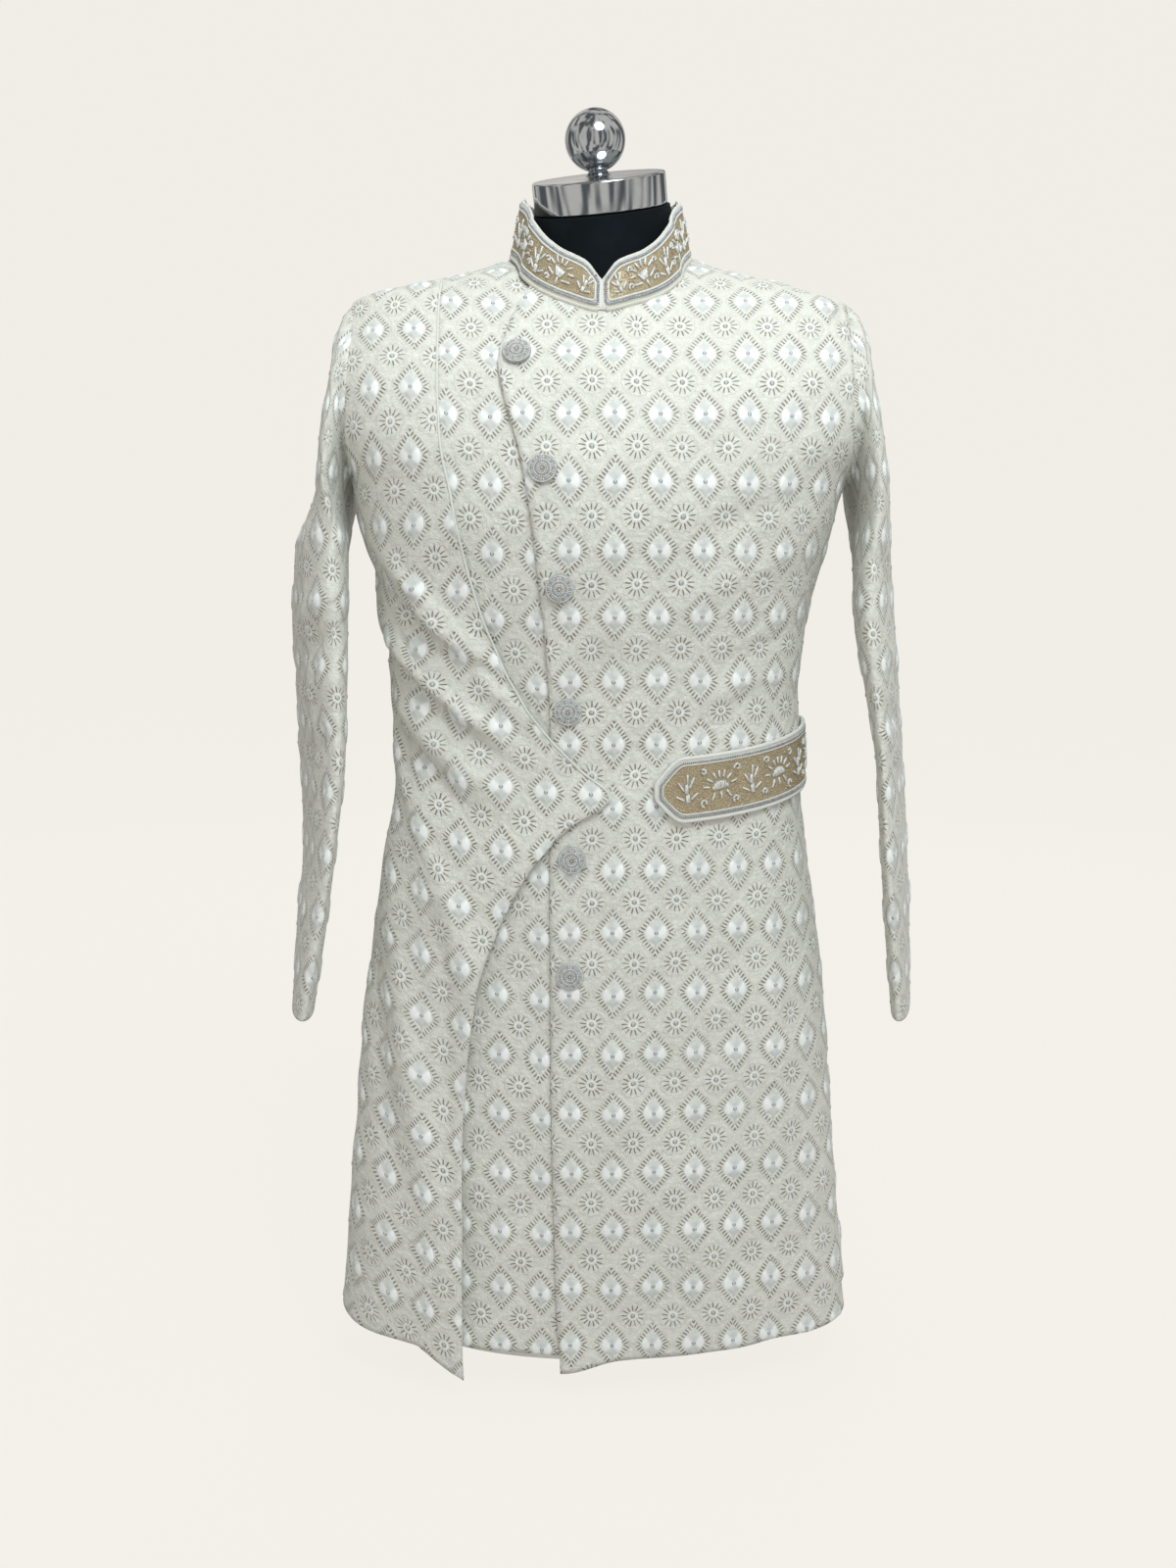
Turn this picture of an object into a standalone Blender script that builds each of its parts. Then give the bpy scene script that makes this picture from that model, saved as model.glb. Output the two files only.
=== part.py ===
"""Sherwani coat on a limbless dress form, built from its cut pieces.

Metres, +Z up. The origin is the centre of the stand's underside, the coat's
front faces -Y, and +X is the wearer's left. Angles run round the body from
the front middle (0) past the wearer's left side (90 degrees) to the back.
"""
import math
from collections import namedtuple

import bmesh
import bpy
from mathutils import Matrix, Vector

# ---------------------------------------------------------------- cloth
CLOTH = 0.0020                 # thickness of a panel
COLLAR_CLOTH = 0.0030          # thickness of the stiffened collar and belt
SEAM_GAP = 0.0003              # between two pieces that meet
LAYER_GAP = 0.0006             # between two layers that lie on each other
SIDE = math.pi / 2             # angle of the wearer's left side seam
BACK = math.pi                 # angle of the middle back seam

# ---------------------------------------------------------------- coat body
# One row for each level: half the width, the depth of the front and of the
# back, where the widest point lies fore and aft, and how square the ring is.
Section = namedtuple("Section", "height half_width front back side squareness")
COAT = (
    Section(0.020, 0.2500, -0.0950, 0.1220, 0.018, 2.25),
    Section(0.150, 0.2390, -0.0970, 0.1230, 0.014, 2.25),
    Section(0.300, 0.2250, -0.1000, 0.1230, 0.010, 2.25),
    Section(0.420, 0.2110, -0.1040, 0.1180, 0.006, 2.25),
    Section(0.510, 0.1970, -0.1060, 0.1070, 0.003, 2.30),
    Section(0.590, 0.1870, -0.1060, 0.0920, 0.000, 2.30),
    Section(0.670, 0.1850, -0.1140, 0.0870, 0.000, 2.35),
    Section(0.770, 0.1985, -0.1330, 0.0980, 0.000, 2.45),
    Section(0.830, 0.2160, -0.1400, 0.1080, 0.000, 2.55),
    Section(0.860, 0.2225, -0.1390, 0.1120, 0.000, 2.60),
    Section(0.900, 0.2480, -0.1310, 0.1150, 0.000, 2.60),
    Section(0.940, 0.2560, -0.1170, 0.1110, 0.000, 2.60),
    Section(0.980, 0.2480, -0.0940, 0.1020, 0.000, 2.50),
    Section(1.000, 0.2370, -0.0810, 0.0950, 0.000, 2.40),
    Section(1.018, 0.2225, -0.0670, 0.0890, 0.000, 2.30),
    Section(1.0265, 0.1965, -0.0580, 0.0860, 0.000, 2.25),
    Section(1.035, 0.1710, -0.0475, 0.0835, 0.000, 2.20),
    Section(1.042, 0.1390, -0.0395, 0.0810, 0.000, 2.15),
    Section(1.049, 0.1110, -0.0310, 0.0785, 0.000, 2.10),
    Section(1.056, 0.0905, -0.0210, 0.0755, 0.000, 2.05),
    Section(1.062, 0.0775, -0.0060, 0.0720, 0.000, 2.00),
)
ARMHOLE = 0.2225               # the armhole lies in the plane this far out
ARMPIT = 0.860                 # height where the armhole begins
SHOULDER = 1.018               # height of the shoulder point

# Height of the hem and of the neckline at angles from the front middle.
Turn = namedtuple("Turn", "degrees height")
HEM = (
    Turn(0, 0.037),
    Turn(20, 0.041),
    Turn(45, 0.047),
    Turn(90, 0.060),
    Turn(180, 0.034),
)
NECKLINE = (
    Turn(0, 1.0000),
    Turn(8, 1.0090),
    Turn(16, 1.0225),
    Turn(28, 1.0400),
    Turn(45, 1.0505),
    Turn(62, 1.0560),
    Turn(90, 1.0610),
    Turn(125, 1.0605),
    Turn(152, 1.0590),
    Turn(180, 1.0580),
)
HEM_FADE = 0.20                # the rows are level above this
NECK_FADE = 0.90               # and below this

# Soft upright folds of the skirt: angle in degrees, how far it stands out,
# half its width in degrees, and the height where it dies away.
Flute = namedtuple("Flute", "angle height width top")
FLUTES = (
    Flute(24, 0.004, 9, 0.42),
    Flute(58, 0.009, 10, 0.52),
    Flute(84, -0.006, 8, 0.50),
    Flute(112, 0.010, 10, 0.50),
    Flute(146, 0.008, 10, 0.46),
    Flute(180, -0.005, 9, 0.44),
    Flute(214, 0.009, 10, 0.48),
    Flute(248, 0.008, 9, 0.50),
    Flute(276, -0.005, 8, 0.46),
    Flute(304, 0.006, 10, 0.44),
    Flute(334, 0.003, 9, 0.40),
)

# Levels of the panels' rows, as heights at the side seam.
LEVELS = (0.060, 0.115, 0.172, 0.230, 0.290, 0.350, 0.405, 0.455, 0.500, 0.540,
          0.579, 0.620, 0.665, 0.710, 0.755, 0.795, 0.830, ARMPIT, 0.866, 0.882,
          0.908, 0.940, 0.972, 0.996, 1.011, SHOULDER, 1.030, 1.042, 1.052, 1.061)

# ---------------------------------------------------------------- fronts
# The placket edge of the over panel: how far from the middle at each height.
Edge = namedtuple("Edge", "height offset")
PLACKET = (
    Edge(0.030, -0.0380),
    Edge(0.110, -0.0420),
    Edge(0.320, -0.0458),
    Edge(0.520, -0.0458),
    Edge(0.640, -0.0447),
    Edge(0.710, -0.0480),
    Edge(0.775, -0.0545),
    Edge(0.835, -0.0618),
    Edge(0.880, -0.0700),
    Edge(0.925, -0.0830),
    Edge(0.955, -0.0885),
    Edge(0.990, -0.0800),
    Edge(1.030, -0.0620),
)
UNDERLAP = 0.050               # how far the under front runs on behind it
OVER_LIFT = CLOTH + 0.0012     # the over panel lies on the under front
OVER_FALL = (0.012, 0.052)     # it comes down to the body between these
OVER_HEM_DIP = (0.014, 0.060)  # depth and reach of its hanging corner
UNDER_HEM_RISE = 0.002         # the under front is cut this much shorter

# ---------------------------------------------------------------- overlay
# Its free edge: from the shoulder down to the point at the waist, and then
# the cutaway down to the hem. The level is the height at the side seam.
OverlayRow = namedtuple("OverlayRow", "height offset edge_lift loose")
OVERLAY = (
    OverlayRow(0.060, -0.1255, 0.0130, 0.0110),
    OverlayRow(0.140, -0.1262, 0.0120, 0.0110),
    OverlayRow(0.230, -0.1260, 0.0105, 0.0105),
    OverlayRow(0.320, -0.1210, 0.0090, 0.0100),
    OverlayRow(0.400, -0.1090, 0.0080, 0.0095),
    OverlayRow(0.460, -0.0900, 0.0070, 0.0090),
    OverlayRow(0.510, -0.0640, 0.0065, 0.0085),
    OverlayRow(0.553, -0.0280, 0.0060, 0.0080),
    OverlayRow(0.579, 0.0080, 0.0055, 0.0080),
    OverlayRow(0.6055, -0.0190, 0.0050, 0.0080),
    OverlayRow(0.655, -0.0610, 0.0035, 0.0075),
    OverlayRow(0.712, -0.0910, 0.0015, 0.0065),
    OverlayRow(0.780, -0.1140, 0.0008, 0.0050),
    OverlayRow(0.840, -0.1270, 0.0005, 0.0035),
    OverlayRow(0.900, -0.1380, 0.0004, 0.0025),
    OverlayRow(0.965, -0.1410, 0.0004, 0.0012),
    OverlayRow(1.030, -0.1420, 0.0004, 0.0006),
)
# Its last rows turn to run along the shoulder seam: the level of each end.
Head = namedtuple("Head", "edge seam")
OVERLAY_HEAD = (
    Head(0.994, 0.990),
    Head(1.008, 1.002),
    Head(1.020, 1.010),
    Head(1.030, 1.0145),
    Head(1.037, 1.017),
    Head(1.0405, SHOULDER),
)
OVERLAY_GAP = 0.0010           # clear of the front under it
OVERLAY_COLUMNS = 12
OVERLAY_HEM_DIP = (0.024, 0.045)
# Drape folds of the overlay, each a ridge between two points of its face
# (offset from the middle and height), with its height and half its width.
Fold = namedtuple("Fold", "from_x from_z to_x to_z height width")
OVERLAY_FOLDS = (
    Fold(-0.190, 0.800, -0.070, 0.650, 0.0060, 0.020),
    Fold(-0.185, 0.735, -0.045, 0.612, 0.0060, 0.018),
    Fold(-0.180, 0.655, -0.060, 0.580, 0.0045, 0.018),
    Fold(-0.165, 0.540, -0.095, 0.330, 0.0060, 0.022),
    Fold(-0.190, 0.500, -0.150, 0.100, 0.0080, 0.026),
)

# ---------------------------------------------------------------- collar
COLLAR_HEIGHT = 0.047
COLLAR_LEAN = (0.0095, 0.0050) # how far its top leans in, at sides and back
COLLAR_GAP = 0.0012            # clear of the panels' face at the neckline
COLLAR_SEAT = 0.0010           # and above their edge
COLLAR_COLUMNS = 44
COLLAR_END_DENSITY = 0.055     # crowds its columns towards the rounded ends
COLLAR_RISE_START = (-0.074, -0.064)   # it climbs onto the over panel here
# Its ends are rounded down: how much, at angles seen from above.
Drop = namedtuple("Drop", "degrees drop")
COLLAR_ENDS = (
    Drop(0, 0.0215),
    Drop(3, 0.0180),
    Drop(6, 0.0138),
    Drop(9, 0.0102),
    Drop(13, 0.0080),
    Drop(20, 0.0072),
    Drop(28, 0.0066),
    Drop(40, 0.0040),
    Drop(58, 0.0000),
)

# ---------------------------------------------------------------- belt
BELT_FRONT = 0.583             # height of its middle at the tip
BELT_SIDE = 0.610              # and from the side seam on
BELT_HEIGHT = 0.057
BELT_TIP = 0.048               # how far from the middle its point lies
BELT_TIP_LENGTH = 0.024        # length of the pointed end
BELT_END = 2 * math.pi - SIDE - 0.020
BELT_STAND = 0.0016            # clear of the panels under it
BELT_COLUMNS = 46

# ---------------------------------------------------------------- buttons
Button = namedtuple("Button", "offset height")
BUTTONS = (
    Button(-0.0725, 0.962),
    Button(-0.0500, 0.865),
    Button(-0.0360, 0.766),
    Button(-0.0292, 0.658),
    Button(-0.0262, 0.523),
    Button(-0.0280, 0.416),
)
BUTTON_RADIUS = 0.0123
BUTTON_EDGE = 0.0022           # thickness at the rim
BUTTON_RISE = 0.0058           # thickness at the middle
BUTTON_SIDES = 18

# ---------------------------------------------------------------- sleeves
# Each row is a ring through an outer and an underarm point (distance out and
# height), with its middle fore and aft and half its depth.
Ring = namedtuple("Ring", "out out_z under under_z fore depth")
SLEEVE_HEAD = (
    Ring(0.2345, 1.0110, 0.2302, 0.8560, 0.004, 0.078),
    Ring(0.2420, 0.9940, 0.2318, 0.8500, 0.003, 0.082),
    Ring(0.2472, 0.9660, 0.2332, 0.8420, 0.002, 0.085),
    Ring(0.2550, 0.9310, 0.2342, 0.8320, 0.000, 0.087),
    Ring(0.2630, 0.8920, 0.2350, 0.8200, -0.002, 0.088),
    Ring(0.2710, 0.8520, 0.2356, 0.8050, -0.004, 0.088),
)
SLEEVE_LEFT = SLEEVE_HEAD + (
    Ring(0.2750, 0.8000, 0.2360, 0.7800, -0.006, 0.087),
    Ring(0.2785, 0.7400, 0.2375, 0.7340, -0.009, 0.086),
    Ring(0.2825, 0.6700, 0.2500, 0.6680, -0.012, 0.084),
    Ring(0.2865, 0.6000, 0.2620, 0.6000, -0.015, 0.081),
    Ring(0.2910, 0.5300, 0.2670, 0.5300, -0.018, 0.077),
    Ring(0.2950, 0.4500, 0.2715, 0.4500, -0.022, 0.071),
    Ring(0.2985, 0.3670, 0.2790, 0.3670, -0.026, 0.064),
)
SLEEVE_RIGHT = SLEEVE_HEAD + (
    Ring(0.2840, 0.8000, 0.2370, 0.7800, -0.006, 0.087),
    Ring(0.2950, 0.7400, 0.2410, 0.7340, -0.009, 0.085),
    Ring(0.2935, 0.6700, 0.2450, 0.6680, -0.012, 0.083),
    Ring(0.2880, 0.6000, 0.2510, 0.6000, -0.015, 0.081),
    Ring(0.2885, 0.5300, 0.2570, 0.5300, -0.018, 0.077),
    Ring(0.2960, 0.4500, 0.2650, 0.4500, -0.022, 0.071),
    Ring(0.3000, 0.3670, 0.2760, 0.3670, -0.026, 0.064),
)
SLEEVE_SIDES = 18
SLEEVE_STEPS = 17              # rings from the first row to the cuff
SLEEVE_START = 0.0008          # clear of the panels' edge round the armhole

# ---------------------------------------------------------------- dress form
FORM_INSET = 0.008             # clear of the cloth all over
FORM_DROP = 0.008
FORM_ARM_PLATE = 0.206         # its flat sides, where arms would join
FORM_BOTTOM = 0.440
FORM_SIDES = 28
FORM_LEVELS = (FORM_BOTTOM, 0.446, 0.500, 0.560, 0.620, 0.680, 0.740, 0.800,
               0.850, 0.900, 0.940, 0.970, 0.990, 1.005, 1.014, 1.022, 1.030,
               1.038, 1.046, 1.053, 1.070)
FORM_BOTTOM_ROUNDING = 0.006
FORM_BLEND = 10                # how sharply the neck meets the shoulders
NECK_RADIUS = 0.0625
NECK_FORWARD = 0.003           # its axis lies this far to the front
NECK_FLARE = 0.009             # the neck widens by this towards its base
NECK_FLARE_TOP = 1.075
CAP_RADIUS = 0.0605
CAP_HEIGHT = 0.0285
CAP_BASE = 1.1035              # height of the neck's slanting top at its middle
CAP_ROLL = math.radians(-5.5)  # about Y: lower towards the wearer's right
CAP_NOD = math.radians(16.0)   # about X: lower towards the front
STEM_RADIUS = 0.0085
BALL_RADIUS = 0.0270
BALL_HEIGHT = 0.059            # centre of the ball above the cap's base
POST_RADIUS = 0.016
BASE_HALF_LENGTH = 0.170
BASE_HALF_DEPTH = 0.064
BASE_BACK = 0.032              # its middle lies this far behind the post
BASE_THICKNESS = 0.009

# ---------------------------------------------------------------- materials
Finish = namedtuple("Finish", "colour roughness metallic")
IVORY = Finish((0.74, 0.72, 0.65), 0.75, 0.0)
IVORY_SHADE = Finish((0.68, 0.67, 0.61), 0.75, 0.0)
GOLD_BEADING = Finish((0.56, 0.50, 0.40), 0.50, 0.2)
SILVER_BEADING = Finish((0.42, 0.42, 0.42), 0.40, 0.5)
BLACK_JERSEY = Finish((0.012, 0.012, 0.013), 0.65, 0.0)
CHROME = Finish((0.80, 0.80, 0.80), 0.08, 1.0)
STEEL = Finish((0.05, 0.05, 0.05), 0.40, 0.8)


# ================================================================ helpers
def between(rows, place):
    """The other columns of a table at a place in its first column, on a
    smooth curve through the rows that never overshoots them."""
    place = min(max(place, rows[0][0]), rows[-1][0])
    last = len(rows) - 2
    index = next((i for i in range(last) if place <= rows[i + 1][0]), last)
    low, high = rows[index], rows[index + 1]
    span = high[0] - low[0]
    part = (place - low[0]) / span
    values = []
    for column in range(1, len(low)):
        start = slope(rows, index, column)
        end = slope(rows, index + 1, column)
        rise = high[column] - low[column]
        smooth = part * part * (3 - 2 * part)
        ease_in = part * (1 - part) ** 2
        ease_out = -part * part * (1 - part)
        values.append(low[column] + rise * smooth
                      + span * (start * ease_in + end * ease_out))
    return values


def slope(rows, index, column):
    """Slope of the smooth curve at a row: flat at a peak or at an end."""
    if index in (0, len(rows) - 1):
        return 0.0
    before, here, after = rows[index - 1:index + 2]
    left = (here[column] - before[column]) / (here[0] - before[0])
    right = (after[column] - here[column]) / (after[0] - here[0])
    if left * right <= 0:
        return 0.0
    return 2 * left * right / (left + right)


def fade(value, start, end):
    """0 before start, 1 after end, and a smooth rise between them."""
    part = min(max((value - start) / (end - start), 0.0), 1.0)
    return part * part * (3 - 2 * part)


def hump(distance, width):
    """1 on a fold's line, falling softly to 0 at its width."""
    if abs(distance) >= width:
        return 0.0
    return math.cos(distance / width * math.pi / 2) ** 2


def solve(function, low, high):
    """Where a function that rises from low to high passes through zero."""
    for _ in range(40):
        middle = (low + high) / 2
        if function(middle) > 0:
            high = middle
        else:
            low = middle
    return (low + high) / 2


# ================================================================ body form
def flute_height(angle, height):
    """How far the skirt's upright folds stand out."""
    degrees = math.degrees(angle) % 360
    total = 0.0
    for flute in FLUTES:
        away = (degrees - flute.angle + 180) % 360 - 180
        rise = fade(flute.top - height, 0.0, flute.top)
        total += flute.height * hump(away, 2 * flute.width) * rise
    return total


def coat_point(angle, height):
    """Point on the inside of the coat's body, as a soft hollow form."""
    half_width, front, back, side, square = between(COAT, height)
    turn_x, turn_y = math.sin(angle), math.cos(angle)
    reach = (abs(turn_x) ** square + abs(turn_y) ** square) ** (-1 / square)
    depth = (side - front) if turn_y > 0 else (back - side)
    stand = flute_height(angle, height)
    x = half_width * reach * turn_x + stand * turn_x
    y = side - depth * reach * turn_y - stand * turn_y
    return Vector((x, y, height))


def coat_normal(angle, height):
    """Outward direction of the coat's body at a point."""
    step = 0.002
    across = coat_point(angle + step, height) - coat_point(angle - step, height)
    up = coat_point(angle, height + step) - coat_point(angle, height - step)
    return across.cross(up).normalized()


def turn_height(rows, angle):
    """Height from a table of turns at an angle, alike on both sides."""
    degrees = math.degrees(angle) % 360
    return between(rows, min(degrees, 360 - degrees))[0]


def level_height(level, angle):
    """Height of a level (its height at the side seam) at another angle."""
    low = turn_height(HEM, angle) - turn_height(HEM, SIDE)
    high = turn_height(NECKLINE, angle) - turn_height(NECKLINE, SIDE)
    top = turn_height(NECKLINE, SIDE)
    low_share = 1 - fade(level, turn_height(HEM, SIDE), HEM_FADE)
    high_share = max(0.0, (level - NECK_FADE) / (top - NECK_FADE))
    return level + low * low_share + high * high_share


def angle_at(offset, level):
    """Angle on the front where a level is this far from the middle."""
    def away(angle):
        return coat_point(angle, level_height(level, angle)).x - offset
    return solve(away, -SIDE, SIDE)


def armhole_angle(level, behind=False):
    """Angle of the armhole's edge on the wearer's left at a level."""
    if level <= ARMPIT or level >= SHOULDER:
        return SIDE
    turn = -1 if behind else 1

    def away(turned):
        angle = SIDE - turn * (SIDE - turned)
        return coat_point(angle, level_height(level, angle)).x - ARMHOLE
    return SIDE - turn * (SIDE - solve(away, 0.2, SIDE))


def seam_step(angle, level):
    """Angle of half a seam's gap."""
    step = 0.01
    height = level_height(level, angle)
    width = coat_point(angle + step, height) - coat_point(angle - step, height)
    return SEAM_GAP * step / width.length


def bearing(angle):
    """Plan direction, from the front middle, of the neckline's point."""
    point = coat_point(angle, turn_height(NECKLINE, angle))
    turn = math.atan2(point.x, -point.y)
    return turn + 2 * math.pi if angle > BACK else turn


def neck_angle(direction):
    """Angle of the neckline's point that lies in a plan direction."""
    turn = abs(direction)
    if turn > BACK:
        return 2 * math.pi - neck_angle(2 * math.pi - turn)
    angle = solve(lambda here: bearing(here) - turn, 0.0, BACK)
    return math.copysign(angle, direction)


# ================================================================ meshes
def material(name, finish):
    item = bpy.data.materials.get(name)
    if item is None:
        item = bpy.data.materials.new(name)
        item.use_nodes = True
        shader = item.node_tree.nodes["Principled BSDF"]
        shader.inputs["Base Color"].default_value = (*finish.colour, 1.0)
        shader.inputs["Roughness"].default_value = finish.roughness
        shader.inputs["Metallic"].default_value = finish.metallic
        item.diffuse_color = (*finish.colour, 1.0)
    return item


def finish_object(name, bm, finish):
    """Turn a bmesh into a named, smooth object with its own material."""
    bmesh.ops.remove_doubles(bm, verts=bm.verts, dist=0.000005)
    bmesh.ops.recalc_face_normals(bm, faces=bm.faces)
    mesh = bpy.data.meshes.new(name)
    bm.to_mesh(mesh)
    bm.free()
    mesh.shade_smooth()
    mesh.set_sharp_from_angle(angle=math.radians(40))
    mesh.materials.append(material(name + "_finish", finish))
    item = bpy.data.objects.new(name, mesh)
    bpy.context.collection.objects.link(item)
    return item


def skin(bm, points, around):
    """One side of a wall: rows of points joined by faces."""
    rows = [[bm.verts.new(point) for point in row] for row in points]
    for lower, upper in zip(rows, rows[1:]):
        for (a, b), (c, d) in zip(pairs(lower, around), pairs(upper, around)):
            bm.faces.new((a, b, d, c))
    return rows


def pairs(row, around):
    """Neighbours along a row, closed into a ring if it goes around."""
    following = row[1:] + row[:1] if around else row[1:]
    return list(zip(row, following))


def wall(name, outer, inner, finish, around=False):
    """A closed cloth wall between an outer and an inner grid of points."""
    bm = bmesh.new()
    outside = skin(bm, outer, around)
    inside = skin(bm, inner, around)
    for row in (0, -1):
        for (a, b), (c, d) in zip(pairs(outside[row], around), pairs(inside[row], around)):
            bm.faces.new((a, c, d, b))
    if not around:
        for column in (0, -1):
            out_edge = [row[column] for row in outside]
            in_edge = [row[column] for row in inside]
            for (a, b), (c, d) in zip(pairs(out_edge, False), pairs(in_edge, False)):
                bm.faces.new((a, c, d, b))
    return finish_object(name, bm, finish)


def turned(bm, profile, sides, place):
    """A closed turned body from (radius, height) pairs, top and bottom on
    its axis, moved to its place."""
    rings = []
    for radius, height in profile:
        ring = []
        for step in range(sides):
            turn = 2 * math.pi * step / sides
            point = Vector((radius * math.cos(turn), radius * math.sin(turn), height))
            ring.append(bm.verts.new(place @ point))
        rings.append(ring)
    for lower, upper in zip(rings, rings[1:]):
        for (a, b), (c, d) in zip(pairs(lower, True), pairs(upper, True)):
            bm.faces.new((a, b, d, c))
    bm.faces.new(rings[0])
    bm.faces.new(rings[-1])


# ================================================================ panels
def body_panel(name, columns, left_edge, right_edge, lift, finish, hem=None):
    """A cut piece of the coat's body between two edges.

    left_edge and right_edge give (angle, level) for each row; lift is how
    far the piece's inner side stands off the body form, and hem moves its
    lowest row up or down."""
    outer, inner = [], []
    for row, (start, end) in enumerate(zip(left_edge, right_edge)):
        out_row, in_row = [], []
        for column in range(columns + 1):
            share = column / columns
            level = start[1] + (end[1] - start[1]) * share
            angle = column_angle(start[0], end[0], share, level)
            height = level_height(level, angle)
            if hem:
                height += hem(angle) * (1 - fade(row, 0, 2))
            point = coat_point(angle, height)
            normal = coat_normal(angle, height)
            stand = lift(point, share, level)
            in_row.append(point + normal * stand)
            out_row.append(point + normal * (stand + CLOTH))
        outer.append(out_row)
        inner.append(in_row)
    return wall(name, outer, inner, finish)


def column_angle(start, end, share, level):
    """Angle of a column: evenly spread low down, and along the neckline
    evenly spread as seen from above."""
    even = start + (end - start) * share
    neck = fade(level, NECK_FADE, turn_height(NECKLINE, SIDE))
    if neck == 0:
        return even
    first, last = bearing(start), bearing(end)
    return even + (neck_angle(first + (last - first) * share) - even) * neck


def over_lift(point, share=0.0, level=0.0):
    """The over panel stands off by the under front beneath it."""
    return OVER_LIFT * (1 - fade(point.x, *OVER_FALL))


def front_left_over():
    """Wearer's left front, whose placket edge crosses to the right."""
    left, right = [], []
    for level in LEVELS:
        edge = solve_edge(PLACKET, level, 0.0)
        side = armhole_angle(level)
        left.append((edge, level))
        right.append((side - seam_step(side, level), level))
    corner = left[0][0]

    def hem(angle):
        depth, reach = OVER_HEM_DIP
        away = coat_point(angle, 0.05).x - coat_point(corner, 0.05).x
        return -depth * (1 - fade(away, 0.0, reach))
    body_panel("front_left_over", 11, left, right, over_lift, IVORY, hem)


def solve_edge(table, level, shift):
    """Angle where a level meets an edge given by height and offset."""
    def away(angle):
        height = level_height(level, angle)
        return coat_point(angle, height).x - between(table, height)[0] - shift
    return solve(away, -SIDE, SIDE)


def front_right_under():
    """Wearer's right front, which runs on behind the over panel."""
    left, right = [], []
    for level in LEVELS:
        side = -armhole_angle(level)
        left.append((side + seam_step(side, level), level))
        right.append((solve_edge(PLACKET, level, UNDERLAP), level))

    def lift(point, share, level):
        return 0.0
    body_panel("front_right_under", 8, left, right, lift, IVORY_SHADE,
               lambda angle: UNDER_HEM_RISE)


def back_panels():
    """Two backs, joined by the middle back seam."""
    def lift(point, share, level):
        return 0.0
    for name, turn in (("back_left", 1), ("back_right", -1)):
        near, far = [], []
        for level in LEVELS:
            side = armhole_angle(level, behind=True)
            near.append((turn * (side + seam_step(side, level)), level))
            far.append((turn * (BACK - seam_step(BACK, level)), level))
        body_panel(name, 9, near, far, lift, IVORY_SHADE)


def fold_height(point, folds):
    """How far the drape folds raise the cloth at a point of its face."""
    total = 0.0
    for fold in folds:
        start = Vector((fold.from_x, fold.from_z))
        run = Vector((fold.to_x, fold.to_z)) - start
        here = Vector((point.x, point.z)) - start
        along = here.dot(run) / run.length_squared
        across = (here - run * along).length
        ends = hump(along - 0.5, 0.62)
        total += fold.height * hump(across, fold.width) * ends
    return total


def overlay_right():
    """The draped layer over the wearer's right front."""
    left, right = [], []
    rows = [(level, level) for level in LEVELS if level < OVERLAY_HEAD[0].seam]
    for edge_level, seam_level in rows + list(OVERLAY_HEAD):
        edge = between(OVERLAY, edge_level)[0]
        side = -armhole_angle(seam_level)
        left.append((angle_at(edge, edge_level), edge_level))
        right.append((side + seam_step(side, seam_level), seam_level))
    corner = left[0][0]

    def lift(point, share, level):
        edge_lift, loose = between(OVERLAY, level)[1:]
        held = 1 - fade(share, 0.62, 1.0)
        stand = edge_lift + (loose - edge_lift) * fade(share, 0.0, 0.35)
        stand += fold_height(point, OVERLAY_FOLDS)
        return CLOTH + OVERLAY_GAP + stand * held

    def hem(angle):
        depth, reach = OVERLAY_HEM_DIP
        away = coat_point(corner, 0.05).x - coat_point(angle, 0.05).x
        return -depth * max(0.0, 1 - away / reach)
    body_panel("overlay_right", OVERLAY_COLUMNS, left, right, lift, IVORY, hem)


# ================================================================ sleeves
def armhole_point(turn, height):
    """Point of the wearer's left armhole at a height, in front or behind."""
    def away(turned):
        angle = SIDE - turn * (SIDE - turned)
        return coat_point(angle, height).x - ARMHOLE
    angle = SIDE - turn * (SIDE - solve(away, 0.2, SIDE))
    return coat_point(angle, height), coat_normal(angle, height)


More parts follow.
